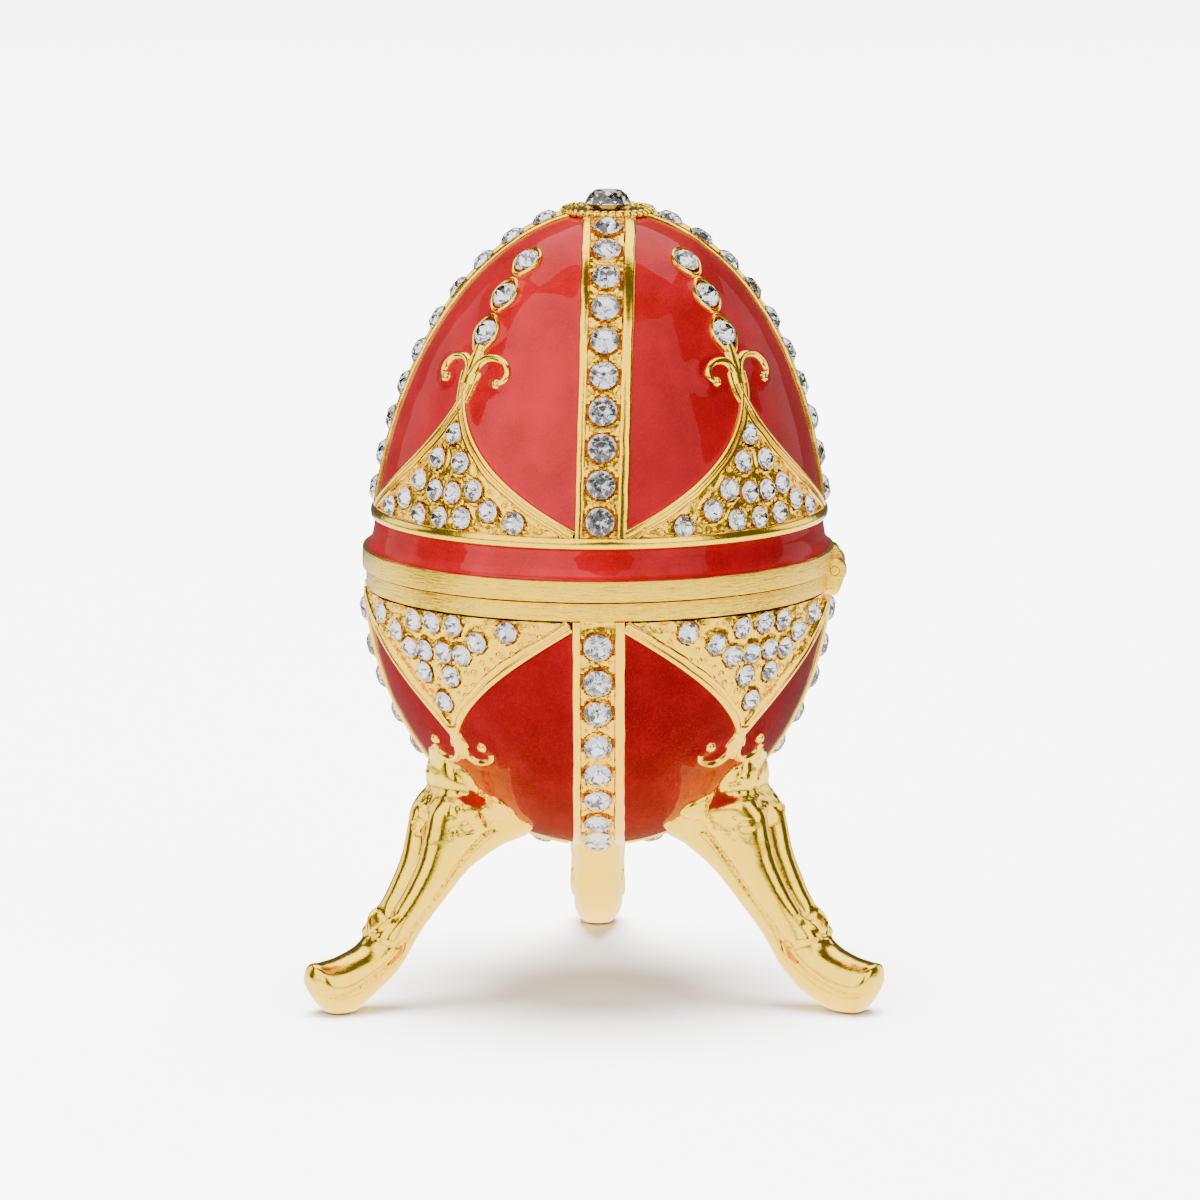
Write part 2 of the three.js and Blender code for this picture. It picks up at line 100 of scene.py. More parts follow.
class Wire:
    """A node's output socket. An operator between wires, or a wire and a number, adds its Math node."""

    def __init__(self, tree, socket):
        self.tree = tree
        self.socket = socket

    def joined(self, operation, first, second):
        node = self.tree.nodes.new("ShaderNodeMath")
        node.operation = operation
        for socket, value in zip(node.inputs, (first, second)):
            if isinstance(value, Wire):
                self.tree.links.new(value.socket, socket)
            else:
                socket.default_value = value
        return Wire(self.tree, node.outputs[0])

    def __add__(self, other):
        return self.joined("ADD", self, other)

    def __radd__(self, other):
        return self.joined("ADD", other, self)

    def __sub__(self, other):
        return self.joined("SUBTRACT", self, other)

    def __rsub__(self, other):
        return self.joined("SUBTRACT", other, self)

    def __mul__(self, other):
        return self.joined("MULTIPLY", self, other)

    def __rmul__(self, other):
        return self.joined("MULTIPLY", other, self)

    def __truediv__(self, other):
        return self.joined("DIVIDE", self, other)

    def __pow__(self, other):
        return self.joined("POWER", self, other)

    def held(self):
        """The value, kept from 0 to 1."""
        node = self.joined("ADD", self, 0.0)
        node.socket.node.use_clamp = True
        return node


class Finish:
    """A material under construction: its nodes, and the surface shader that they feed."""

    def __init__(self, name):
        self.material = bpy.data.materials.new(name)
        self.material.use_nodes = True
        self.tree = self.material.node_tree
        self.tree.nodes.clear()

    def node(self, kind, settings=None, sockets=None, output=0):
        """One node: its settings are put in first, then the values or wires of its sockets."""
        node = self.tree.nodes.new("ShaderNode" + kind)
        for key, value in (settings or {}).items():
            setattr(node, key, value)
        for key, value in (sockets or {}).items():
            if isinstance(value, Wire):
                self.tree.links.new(value.socket, node.inputs[key])
            else:
                node.inputs[key].default_value = value
        return Wire(self.tree, node.outputs[output])

    def place(self):
        return self.node("TexCoord", output="Object")

    def noise(self, size, detail=2.0, roughness=0.5, vector=None):
        """Smooth noise whose lumps are about that size, in metres."""
        vector = vector or self.place()
        sockets = {"Vector": vector, "Scale": 1 / size, "Detail": detail, "Roughness": roughness}
        return self.node("TexNoise", {}, sockets)

    def attribute(self, name):
        return self.node("Attribute", {"attribute_name": name}, output="Fac")

    def blend(self, first, second, factor):
        """A colour from the first to the second as the factor goes from 0 to 1."""
        return self.node("Mix", {"data_type": "RGBA"}, {0: factor, 6: first, 7: second}, output=2)

    def bump(self, height, depth, strength=1.0):
        """A normal from a height of 0 to 1 that stands for that depth, in metres."""
        return self.node("Bump", {}, {"Height": height, "Distance": depth, "Strength": strength})

    def finish(self, sockets):
        surface = self.node("BsdfPrincipled", {}, sockets)
        out = self.tree.nodes.new("ShaderNodeOutputMaterial")
        self.tree.links.new(surface.socket, out.inputs["Surface"])
        return self.material


sheet = Finish("pale_table")
sheet_tone = sheet.blend((0.93, 0.93, 0.93, 1), (0.88, 0.88, 0.88, 1), sheet.noise(0.12))
table = bpy.data.meshes.new("table")
table.from_pydata([(-3, -2, 0), (3, -2, 0), (3, 4, 0), (-3, 4, 0)], [], [(0, 1, 2, 3)])
table.materials.append(sheet.finish({"Base Color": sheet_tone, "Roughness": 0.6}))
REFLECTED_DEPTH = -0.0002
for name, depth in (("table_top", 0.0), ("table_in_reflections", REFLECTED_DEPTH)):
    table_part = bpy.data.objects.new(name, table)
    table_part.location.z = depth
    table_part.visible_glossy = table_part.visible_diffuse = table_part.visible_transmission = depth < 0
    table_part.visible_camera = depth == 0
    table_part.visible_shadow = False
    bpy.context.scene.collection.objects.link(table_part)
    shown_to["top" if depth == 0 else "table"].objects.link(table_part)

# Lid casting: one thin cast metal half-egg, gold plated, with its flange, moulding, bands, triangle frames,
# scrolls, chains of settings and top disc cast on it. It is plain and gold inside. Sizes from here on are in
# mm from the egg's axis and from the table. SEAM is where the halves meet, and BAND is half a band's width.
SEAM = 36.15
BAND = 2.02
WALL = 1.6
SUNK = 1.2


class EggHalf:
    """Half an egg: an ellipse turned about the egg's axis, leaning by a share of its height. A place on it
    is an arc walked from the seam along the meridian, a turn about the axis and a lift off the surface."""

    def __init__(self, radius, height, up, lean):
        self.radius, self.height, self.up, self.lean = radius, height, up, lean
        self.slopes = np.linspace(0, np.pi / 2, 3001)
        speed = np.hypot(radius * np.sin(self.slopes), height * np.cos(self.slopes))
        steps = (speed[1:] + speed[:-1]) / 2 * np.diff(self.slopes)
        self.arcs = np.concatenate([[0], np.cumsum(steps)])

    def slope(self, arc):
        return np.interp(arc, self.arcs, self.slopes)

    def arc_at(self, rise):
        return np.interp(np.arcsin(rise / self.height), self.slopes, self.arcs)

    def rise(self, arc):
        return self.height * np.sin(self.slope(arc))

    def round(self, arc):
        """Radius of the egg at an arc."""
        return self.radius * np.cos(self.slope(arc))

    def at(self, arc, turn, lift=0.0):
        """Points at arcs and turns, lifted along the ellipse's normal."""
        slope = self.slope(arc)
        out, rise = np.cos(slope) / self.radius, np.sin(slope) / self.height
        length = np.hypot(out, rise)
        radius = self.radius * np.cos(slope) + lift * out / length
        height = self.height * np.sin(slope) + lift * rise / length
        x = radius * np.cos(turn) + self.lean * height
        return np.stack(np.broadcast_arrays(x, radius * np.sin(turn), SEAM + self.up * height), -1)

    def axes(self, arc, turn):
        """Centre, level direction, uphill direction and normal at each place."""
        centre = self.at(arc, turn)
        normal = self.at(arc, turn, 1.0) - centre
        level = np.stack([-np.sin(turn), np.cos(turn), np.zeros_like(turn)], -1)
        return centre, level, self.up * np.cross(normal, level), normal


LID = EggHalf(19.1, 30.4, 1, 0.028)


def grain(points, size, seed):
    """Smooth lumps: random heights from -1 to 1 on a cubic lattice, blended by an S-curve between corners."""
    lattice = np.random.default_rng(seed).uniform(-1, 1, (32, 32, 32))
    scaled = points / size
    low = np.floor(scaled).astype(int)
    part = scaled - low
    part = part * part * (3 - 2 * part)
    total = np.zeros(points.shape[:-1])
    for corner in np.ndindex(2, 2, 2):
        weight = np.prod(np.where(corner, part, 1 - part), axis=-1)
        index = (low + corner) % 32
        total = total + weight * lattice[index[..., 0], index[..., 1], index[..., 2]]
    return total


def grid_quads(index):
    """Quads between neighbouring rows and columns of a grid of point numbers."""
    corners = [index[:-1, :-1], index[:-1, 1:], index[1:, 1:], index[1:, :-1]]
    return np.stack(corners, -1).reshape(-1, 4)


def closed(points, faces, **facts):
    """A shape whose faces point outwards: all turn over if the sum of their triple products is negative."""
    volume = 0.0
    for corners in faces:
        first = points[corners[:, 0]]
        for j in range(1, corners.shape[1] - 1):
            second, third = points[corners[:, j]], points[corners[:, j + 1]]
            volume += np.einsum("ij,ij->", first, np.cross(second, third))
    if volume < 0:
        faces = [corners[:, ::-1] for corners in faces]
    return {"points": points, "faces": faces, **facts}


def slab(top, bottom, hollow):
    """A closed plate between two grids of points with as many rows; the bottom may have fewer columns. Hollow
    is given for the top, and is 1 on the bottom."""
    rows, columns = top.shape[:2]
    upper = np.arange(rows * columns).reshape(rows, columns)
    lower = rows * columns + np.arange(rows * bottom.shape[1]).reshape(rows, -1)
    sides = [
        np.stack([upper[:-1, 0], upper[1:, 0], lower[1:, 0], lower[:-1, 0]], -1),
        np.stack([upper[1:, -1], upper[:-1, -1], lower[:-1, -1], lower[1:, -1]], -1),
    ]
    ends = [
        np.concatenate([upper[0, ::-1], lower[0]])[None],
        np.concatenate([upper[-1], lower[-1, ::-1]])[None],
    ]
    points = np.concatenate([top.reshape(-1, 3), bottom.reshape(-1, 3)])
    hollow = np.concatenate([hollow.ravel(), np.ones(lower.size)])
    return closed(points, [grid_quads(upper), grid_quads(lower)[:, ::-1], *sides, *ends], hollow=hollow)


def tube(rings, **facts):
    """A closed skin over a row of rings of points, with a flat cap on each end."""
    count, around = rings.shape[:2]
    index = np.arange(count * around).reshape(count, around)
    wrapped = np.concatenate([index, index[:, :1]], axis=1)
    caps = [index[:1, ::-1], index[-1:]]
    return closed(rings.reshape(-1, 3), [grid_quads(wrapped), *caps], **facts)


NOTCH_SIDES = [-3.65, -3.6, -1.25, -1.2, -1.15, 1.15, 1.2, 1.25, 3.6, 3.65]
NOTCH_TURNS = np.arcsin(np.array(NOTCH_SIDES) / 20)
NOTCH_RADIUS = 18.9


def turned(outline, around=160, lean=0.0):
    """A solid of revolution from its half-outline of (radius, height), which starts and ends on the axis. It
    has extra columns of points at the edges of the hinge's notches."""
    outline = np.array(outline, float)
    turn = np.unique(np.concatenate([2 * np.pi * np.arange(around) / around, NOTCH_TURNS % (2 * np.pi)]))
    around = len(turn)
    radius, height = outline[1:-1, :1], outline[1:-1, 1:]
    x = radius * np.cos(turn) + lean * (height - SEAM)
    rings = np.stack(np.broadcast_arrays(x, radius * np.sin(turn), height), -1)
    poles = np.stack([lean * (outline[[0, -1], 1] - SEAM), [0, 0], outline[[0, -1], 1]], -1)
    index = np.arange(len(rings) * around).reshape(len(rings), around)
    wrapped = np.concatenate([index, index[:, :1]], axis=1)
    first, last = np.full(around, index.size), np.full(around, index.size + 1)
    fans = [
        np.stack([first, wrapped[0, 1:], wrapped[0, :-1]], -1),
        np.stack([last, wrapped[-1, :-1], wrapped[-1, 1:]], -1),
    ]
    points = np.concatenate([rings.reshape(-1, 3), poles])
    return closed(points, [grid_quads(wrapped), *fans])


def notched(shape, near, far, level, up=1):
    """A turned shape with its edge at the hinge cut back, near to far from the middle, as far as a level."""
    points = shape["points"]
    side = np.abs(points[:, 1])
    inside = (side > near) & (side < far) & (points[:, 0] > NOTCH_RADIUS) & (up * points[:, 2] < up * level)
    points[inside, 0] = NOTCH_RADIUS
    return shape


def softened(outline, size):
    """The same outline with each corner cut back by a small size and rounded by a three-point curve."""
    outline = np.array(outline, float)
    points = [outline[:1]]
    for before, corner, after in zip(outline[:-2], outline[1:-1], outline[2:]):
        back, ahead = before - corner, after - corner
        reach = min(size, np.linalg.norm(back) / 3, np.linalg.norm(ahead) / 3)
        start = corner + back * reach / np.linalg.norm(back)
        end = corner + ahead * reach / np.linalg.norm(ahead)
        points.append(np.stack([start, (start + 2 * corner + end) / 4, end]))
    return np.concatenate([*points, outline[-1:]])


def piece(name, body, slot, shapes, finishes, sharp=38):
    """One object from closed shapes in mm about the egg's axis. Each shape may name the number of its finish,
    and give a value of its own to the attribute that the finish reads, one for each point."""
    sizes = [len(shape["points"]) for shape in shapes]
    starts = np.concatenate([[0], np.cumsum(sizes)[:-1]])
    points = np.concatenate([shape["points"] for shape in shapes]) * 0.001 + AXIS
    faces, finish = [], []
    for shape, start in zip(shapes, starts):
        numbers = shape.get("finish", 0)
        for number, corners in zip(np.broadcast_to(numbers, len(shape["faces"])), shape["faces"]):
            faces.extend((corners + start).tolist())
            finish.extend([int(number)] * len(corners))
    mesh = bpy.data.meshes.new(name)
    mesh.from_pydata(points, [], faces)
    for material in finishes:
        mesh.materials.append(material)
    mesh.polygons.foreach_set("material_index", finish)
    mesh.polygons.foreach_set("use_smooth", np.full(len(finish), sharp > 0))
    for key in ("hollow", "edge"):
        if any(key in shape for shape in shapes):
            values = [np.broadcast_to(shape.get(key, 0.0), size) for shape, size in zip(shapes, sizes)]
            attribute = mesh.attributes.new(key, "FLOAT", "POINT")
            attribute.data.foreach_set("value", np.concatenate(values).astype(np.float32))
    if sharp > 0:
        mesh.set_sharp_from_angle(angle=math.radians(sharp))
    thing = bpy.data.objects.new(name, mesh)
    bpy.context.scene.collection.objects.link(thing)
    shown_to["enamel" if slot == "enamel" else "metal"].objects.link(thing)
    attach(thing, body)
    return thing


def ridge(half, arc, turn, profile, width=1.0, side=1, **facts):
    """A bar along a path on the egg: a closed profile of (across, height) carried square to the path."""
    centre, _, _, normal = half.axes(arc, turn)
    ahead = np.gradient(centre, axis=0)
    across = side * np.cross(normal, ahead)
    across /= np.linalg.norm(across, axis=-1, keepdims=True)
    profile = np.array(profile, float)
    width = np.broadcast_to(width, arc.shape)
    reach = profile[None, :, :1] * width[:, None, None]
    rings = centre[:, None] + across[:, None] * reach + normal[:, None] * profile[None, :, 1:]
    hollow = np.broadcast_to(profile[:, 1] < 0.12, rings.shape[:2])
    return tube(rings, hollow=hollow.astype(float).ravel(), **facts)


def curve(controls, count, even=False):
    """A smooth line through control points: cubic pieces whose slopes come from the neighbouring points. The
    way from one control point to the next is their distance, or 1 each if the line is even."""
    controls = np.array(controls, float)
    steps = np.linalg.norm(np.diff(controls, axis=0), axis=1) ** (0 if even else 1)
    at = np.concatenate([[0], np.cumsum(steps)])
    slopes = np.gradient(controls, at, axis=0)
    where = np.linspace(0, at[-1], count)
    i = np.clip(np.searchsorted(at, where, side="right") - 1, 0, len(at) - 2)
    span = (at[i + 1] - at[i])[:, None]
    t = (where[:, None] - at[i][:, None]) / span
    start = (2 * t**3 - 3 * t**2 + 1) * controls[i] + (t**3 - 2 * t**2 + t) * span * slopes[i]
    end = (3 * t**2 - 2 * t**3) * controls[i + 1] + (t**3 - t**2) * span * slopes[i + 1]
    return start + end


def beads(half, arc, turn, radius, sink=0.0, **facts):
    """Small domes on the surface: four rings of seven points, the lowest sunk, copied to each place."""
    around = 2 * np.pi * np.arange(7) / 7
    rings = [(1.0, -0.6), (1.0, 0.15), (0.72, 0.68), (0.25, 0.95)]
    size, height = np.array(rings)[:, :1], np.array(rings)[:, 1:]
    form = np.stack(np.broadcast_arrays(size * np.cos(around), size * np.sin(around), height), -1)
    centre, level, uphill, normal = half.axes(arc, turn)
    axes = np.stack([level, uphill, normal], 1)
    places = np.einsum("rpk,nkd->nrpd", form, axes) * np.reshape(radius, (-1, 1, 1, 1))
    places += (centre - normal * sink)[:, None, None]
    return [tube(place, **facts) for place in places]


def band(half, turn, start, end, stones, seed, rails=(1.1, 1.1)):
    """A stone-set band: a row of points across it is carried along the meridian. Its two rails, of given
    widths, stand proud, and the floor between them is grainy, with a round seat sunk under each stone."""
    floor = np.linspace(-1.3, 1.3, 17)
    rail = np.array([[0.64, -0.4], [0.63, 0.24], [0.57, 0.36], [0.46, 0.41], [0.16, 0.42], [0.05, 0.36]])
    left, right = -1.4 - rail[:, 0] * rails[0], 1.4 + rail[::-1, 0] * rails[1]
    across = np.concatenate([left, [-1.40, -1.36], floor[1:-1], [1.36, 1.40], right])
    height = np.concatenate([rail[:, 1], [0.15, -0.02], np.full(15, -0.08), [-0.02, 0.15], rail[::-1, 1]])
    inside = np.abs(across) < 1.38
    arc = np.linspace(start, end, int((end - start) / 0.16))
    radius = half.round(arc)[:, None]
    rough = grain(half.at(arc[:, None], turn + across / radius), 1.3, seed)
    spread = across + np.where(inside, 0, 0.05 * rough)
    where = half.at(arc[:, None], turn + np.arcsin(np.clip(spread / radius, -0.99, 0.99)))
    fine = 0.05 * grain(where, 0.3, seed + 1) + 0.05 * grain(where, 0.55, seed + 2)
    away = np.hypot(arc[:, None, None] - stones, across[None, :, None]).min(-1)
    seat = -0.22 * (away < 1.30) - 0.7 * (away < 1.05) + 0.12 * np.exp(-(((away - 1.4) / 0.12) ** 2))
    lift = height + np.where(inside, fine + seat, 0.018 * rough)
    spread = np.arcsin(np.clip(spread / radius, -0.99, 0.99))
    top = half.at(arc[:, None], turn + spread, lift)
    foot = half.at(arc[:, None], turn + spread[:, [0, -1]], -1.3)
    hollow = np.where(inside, np.clip(0.75 - 3 * fine - 1.2 * seat, 0, 1), 0.0)
    between = (stones[:-1] + stones[1:]) / 2
    chance = np.random.default_rng(seed)
    spots = np.repeat(between, 3) + chance.uniform(-0.2, 0.2, 3 * len(between))
    sides = np.tile([-0.85, 0.05, 0.9], len(between)) + chance.uniform(-0.15, 0.15, 3 * len(between))
    radii = chance.uniform(0.15, 0.27, len(spots))
    studs = beads(half, spots, turn + sides / half.round(spots), radii, 0.05)
    return [slab(top, foot, hollow), *({**stud, "hollow": 0.35} for stud in studs)]


def spread_angle(half, rise, base, neck, flare):
    """Half the width of a triangle, as an angle: a power of a height's share of the way from neck to base."""
    share = np.clip((neck - rise) / (neck - base), 0, 1)
    return (np.pi / 4 - math.asin(BAND / half.radius)) * share**flare


def triangle(half, turn, form, pave, seed):
    """A stone-set triangle: a grainy floor across it at each height, with sunk seats, and a stepped frame
    along each hollow side."""
    foot, base, neck, flare = form
    rise = np.linspace(foot, neck - 0.8, 62)
    arc = half.arc_at(rise)[:, None]
    reach = spread_angle(half, rise, base, neck, flare)[:, None] - 0.35 / half.round(arc)
    reach = np.maximum(reach, 0.2 / half.round(arc))
    angle = reach * np.linspace(-1, 1, 104)
    where = half.at(arc, turn + angle)
    fine = 0.06 * grain(where, 0.33, seed) + 0.05 * grain(where, 0.7, seed + 1)
    pave_arc, pave_angle = pave
    middle = half.at(pave_arc, turn + pave_angle)
    away = np.linalg.norm(where[:, :, None] - middle, axis=-1).min(-1)
    seat = -0.2 * (away < 1.0) - 0.6 * (away < 0.8) + 0.12 * np.exp(-(((away - 1.08) / 0.12) ** 2))
    top = half.at(arc, turn + angle, 0.06 + fine + seat)
    under = half.at(arc, turn + reach * np.linspace(-1, 1, 12), -SUNK)
    hollow = np.clip(0.62 - 4 * fine - 1.5 * seat, 0, 1)
    shapes = [slab(top, under, hollow)]
    step = [
        (0.0, -0.35), (0.0, 0.28), (0.06, 0.42), (0.2, 0.48), (0.4, 0.47), (0.5, 0.40), (0.55, 0.22),
        (0.64, 0.22), (0.70, 0.36), (0.84, 0.39), (1.0, 0.34), (1.1, 0.1), (1.1, -0.35),
    ]
    rise = np.linspace(base, neck, 60)
    arc = half.arc_at(rise)
    angle = spread_angle(half, rise, base, neck, flare)
    wobble = 1 + 0.12 * grain(half.at(arc, turn + angle), 1.1, seed + 2)
    shapes += [ridge(half, arc, turn + side * angle, step, wobble, side * half.up) for side in (-1, 1)]
    chance = np.random.default_rng(seed + 3)
    tries = chance.uniform(0, 1, (900, 2))
    rises = foot + 0.3 + (neck - foot - 2) * tries[:, 0]
    arcs = half.arc_at(rises)
    limit = spread_angle(half, rises, base, neck, flare) - 1.15 / half.round(arcs)
    angles = limit * (2 * tries[:, 1] - 1)
    places = half.at(arcs, turn + angles)
    radii = chance.uniform(0.2, 0.34, len(tries))
    clear = np.linalg.norm(places[:, None] - middle, axis=-1).min(-1) > 1.12 + radii
    kept = []
    for i in np.flatnonzero(clear & (limit > 0)):
        if all(np.linalg.norm(places[i] - places[j]) > 0.72 for j in kept):
            kept.append(i)
    studs = beads(half, arcs[kept], turn + angles[kept], radii[kept], -0.02)
    return shapes + [{**stud, "hollow": 0.2} for stud in studs]


WIRE = [
    (-1, -0.35), (-1, 0.2), (-0.75, 0.45), (-0.3, 0.58), (0.3, 0.58), (0.75, 0.45), (1, 0.2), (1, -0.35),
]


def beyond(half, turn, neck, places, side):
    """Arcs and turns of places given as (across, beyond a triangle's neck)."""
    arc = half.arc_at(neck) + places[:, 1]
    return arc, turn + side * places[:, 0] / half.round(arc)


def scroll(half, turn, neck, controls, ball, size, side):
    """A wire scroll from a triangle's neck, tapering to a small ball."""
    wire_arc, wire_turn = beyond(half, turn, neck, size * curve(controls, 34), side)
    taper = np.interp(np.linspace(0, 1, 34), [0, 0.25, 0.8, 1], [0.65, 0.42, 0.32, 0.30])
    ball_arc, ball_turn = beyond(half, turn, neck, size * np.array([ball]), side)
    return [ridge(half, wire_arc, wire_turn, WIRE, taper), *beads(half, ball_arc, ball_turn, [0.52], -0.2)]


def setting(half, arc, turn, tips, radius=1.42):
    """A cast cup for one stone: rings of one outline, which is round with a tip uphill and downhill."""
    around = np.linspace(0, 2 * np.pi, 40, endpoint=False)
    outline = np.full(40, radius)
    for lean, tip in zip((np.pi / 2, -np.pi / 2), tips):
        outline = outline + (tip - radius) * np.maximum(0, np.cos(around - lean)) ** 7
    rings = [
        (1.0, -0.5), (1.0, 0.28), (0.97, 0.40), (0.9, 0.45), (0.84, 0.42), (0.81, 0.30), (0.76, -0.1),
        (0.2, -0.9),
    ]
    centre, level, uphill, normal = (value[0] for value in half.axes(np.array([arc]), np.array([turn])))
    flat = outline[:, None] * (np.cos(around)[:, None] * level + np.sin(around)[:, None] * uphill)
    shape = np.stack([centre + size * flat + height * normal for size, height in rings])
    hollow = np.repeat([0, 0, 0, 0, 0.2, 0.8, 1, 1], 40)
    return tube(shape, hollow=hollow.astype(float))


# A triangle's form: heights of its floor's foot, of its base and of its neck above the seam, and its flare.
# A triangle's stones are pairs of a height above the seam and degrees from the middle line.
LID_TRIANGLE = (5.3, 5.85, 18.0, 1.9)
LID_PAVE = [
    (13.05, 0), (10.85, -4.2), (10.85, 4.2), (8.25, -3.1), (8.25, 3.3), (8.8, -9.7), (8.7, 9.9),
    (6.2, 0), (6.2, -8), (6.3, 7.8), (7.2, -15.2), (7.1, 15.4), (6.1, -23.3), (6.2, 22.8),
]
LID_BAND = 6.63 + 3.05 * np.arange(10)
CHAIN = np.array([22.0, 25.6, 29.2])
BAND_TURNS = np.radians([-90, 0, 90, 180])
QUARTERS = np.radians([-135, -45, 45, 135])


def pave_places(half, pave, seed):
    """Arcs and angles of a triangle's stones, each a hair out of place."""
    places = np.array(pave, float)
    jitter = np.random.default_rng(seed).normal(0, 0.05, places.shape)
    return half.arc_at(places[:, 0] + jitter[:, 0]), np.radians(places[:, 1]) + jitter[:, 1] / half.radius


def ellipse(half, inset, start, end, count):
    """Outline of a half-egg's surface from one slope to another, with a thickness taken off."""
    slope = np.linspace(start, end, count)
    height = (half.height - inset) * np.sin(slope)
    return np.stack([(half.radius - inset) * np.cos(slope), SEAM + half.up * height], -1)


disc_top = 66.72
disc_foot = SEAM + LID.height * math.sin(math.acos(3.85 / LID.radius))
lid_inside = ellipse(LID, WALL, math.pi / 2, 0.003, 40)
lid_outside = ellipse(LID, SUNK, math.asin(5.6 / LID.height), math.acos(3.9 / LID.radius), 60)
lid_rim = softened(
    [
        (17.4, 36.21), (20.0, 36.21), (20.02, 37.95), (19.2, 38.05), (18.5, 38.4), (18.5, 40.2),
        (19.1, 40.42), (19.36, 40.62), (19.42, 41.1), (19.2, 41.5), (18.6, 41.62),
    ],
    0.12,
)
crown = softened(
    [
        (3.6, disc_foot - 0.4), (3.7, disc_foot + 0.15), (3.6, disc_top - 0.12), (2.3, disc_top - 0.05),
        (1.95, disc_top + 0.02), (1.9, disc_top - 0.3), (0.6, disc_top - 1.25),
    ],
    0.1,
)
lid_outline = np.concatenate([lid_inside[:-1], lid_rim, lid_outside, crown, [(0, disc_top - 1.25)]])
lid_outline[0, 0] = 0
lid_gold = [notched(turned(lid_outline, lean=LID.lean), 1.18, 3.62, 37.35)]
for i, turn in enumerate(BAND_TURNS):
    rails = (1.05, 1.5) if i == 0 else (1.1, 1.1)
    lid_gold += band(LID, turn, LID.arc_at(5.2), LID.arcs[-1] - 3.75, LID_BAND, 10 * i, rails)
LID_SCROLL = [
    (0.1, -0.4), (0.6, 0.75), (1.4, 1.3), (2.4, 1.3), (3.3, 0.85), (3.78, 0.1), (3.6, -0.6), (3.15, -0.85),
]
LID_BALL = (3.1, -0.85)
for i, turn in enumerate(QUARTERS):
    pave = pave_places(LID, LID_PAVE, 100 + i)
    lid_gold += triangle(LID, turn, LID_TRIANGLE, pave, 200 + 10 * i)
    for side, size in ((-1, 0.9 - 0.1 * (i % 2)), (1, 1.0)):
        lid_gold += scroll(LID, turn, LID_TRIANGLE[2], LID_SCROLL, LID_BALL, size, side)
    stem = np.linspace(LID.arc_at(17.0), CHAIN[0] - 1.2, 12)
    lid_gold.append(ridge(LID, stem, np.full(12, turn), WIRE, np.linspace(0.95, 0.6, 12)))
    tips = [(1.8, 2.1), (1.8, 1.8), (1.5, 1.8)]
    lid_gold += [setting(LID, arc, turn, tip) for arc, tip in zip(CHAIN, tips)]
# The disc's milled edge: a slanted bead, thick in its middle, at each step round it.
DISC_RADIUS = 3.66
disc_shift = np.array([LID.lean * (disc_top - SEAM), 0, disc_top - 0.3])
bead_turn = 2 * np.pi * np.arange(8) / 8
bead_reach = np.array([-0.40, -0.22, 0, 0.22, 0.40])[:, None, None]
bead_size = np.array([0.18, 0.33, 0.38, 0.33, 0.18])[:, None, None]
for angle in 2 * np.pi * np.arange(34) / 34:
    out = np.array([math.cos(angle), math.sin(angle), 0])
    slant = np.array([-0.8 * math.sin(angle), 0.8 * math.cos(angle), 0.6])
    ring = np.cos(bead_turn)[:, None] * out + np.sin(bead_turn)[:, None] * np.cross(out, slant)
    lid_gold.append(tube(disc_shift + DISC_RADIUS * out + bead_reach * slant + bead_size * ring))

gold = Finish("gold_plate")
speckle = gold.noise(0.00012, 3)
cloudy = gold.noise(0.0022, 2)
hollow_and_shade = gold.attribute("hollow")
gold_tone = gold.blend((1.0, 0.65, 0.03, 1), (0.96, 0.58, 0.01, 1), cloudy)
# Painted shade: the hollows turn a deeper, darker orange.
gold_tone = gold.blend(gold_tone, (0.95, 0.50, 0.0, 1), (hollow_and_shade * (0.3 + 0.5 * cloudy)).held())
height = gold.node("SeparateXYZ", {}, {"Vector": gold.place()}, output=2)
rims_low, rims_high, sharpness = 0.0344, 0.0380, 5000
on_rims = ((height - rims_low) * sharpness).held() - ((height - rims_high) * sharpness).held()
# Brushed streaks on the rims: real in the bump, and in the colour they are painted dark reflections.
streaked = gold.node("VectorMath", {"operation": "MULTIPLY"}, {0: gold.place(), 1: (1, 1, 16)})
brushed_and_reflection_streaks = gold.noise(0.0022, 4, 0.65, streaked)
# Painted reflection: dark brown streaks on the flange and rims, where the brushed noise is low.
gold_tone = gold.blend(gold_tone, (0.42, 0.24, 0.02, 1), ((0.47 - brushed_and_reflection_streaks) * 7).held() * on_rims * 0.75)
# Painted dark reflections: small dark brown mottles, made stronger in the hollows as painted shade.
dark_reflection_mottles = ((gold.noise(0.0007, 4, 0.7) - 0.56) * 7).held()
gold_tone = gold.blend(gold_tone, (0.50, 0.28, 0.01, 1), dark_reflection_mottles * (0.2 + 0.6 * hollow_and_shade))
cast_skin = 0.3 * gold.noise(0.0016, 2) + (0.12 + 1.1 * hollow_and_shade) * gold.noise(0.0006, 2) + 0.12 * speckle
gold_plate = gold.finish(
    {
        "Base Color": gold_tone,
        "Metallic": 1.0,
        "Roughness": 0.07 + 0.14 * gold.noise(0.0009, 3) + 0.06 * hollow_and_shade + 0.10 * on_rims,
        "Normal": gold.bump(cast_skin + 1.3 * on_rims * brushed_and_reflection_streaks, 0.0001, 0.8),
    }
)
lid_casting = piece("lid_casting", "lid", "gold", lid_gold, [gold_plate])
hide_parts("lid")
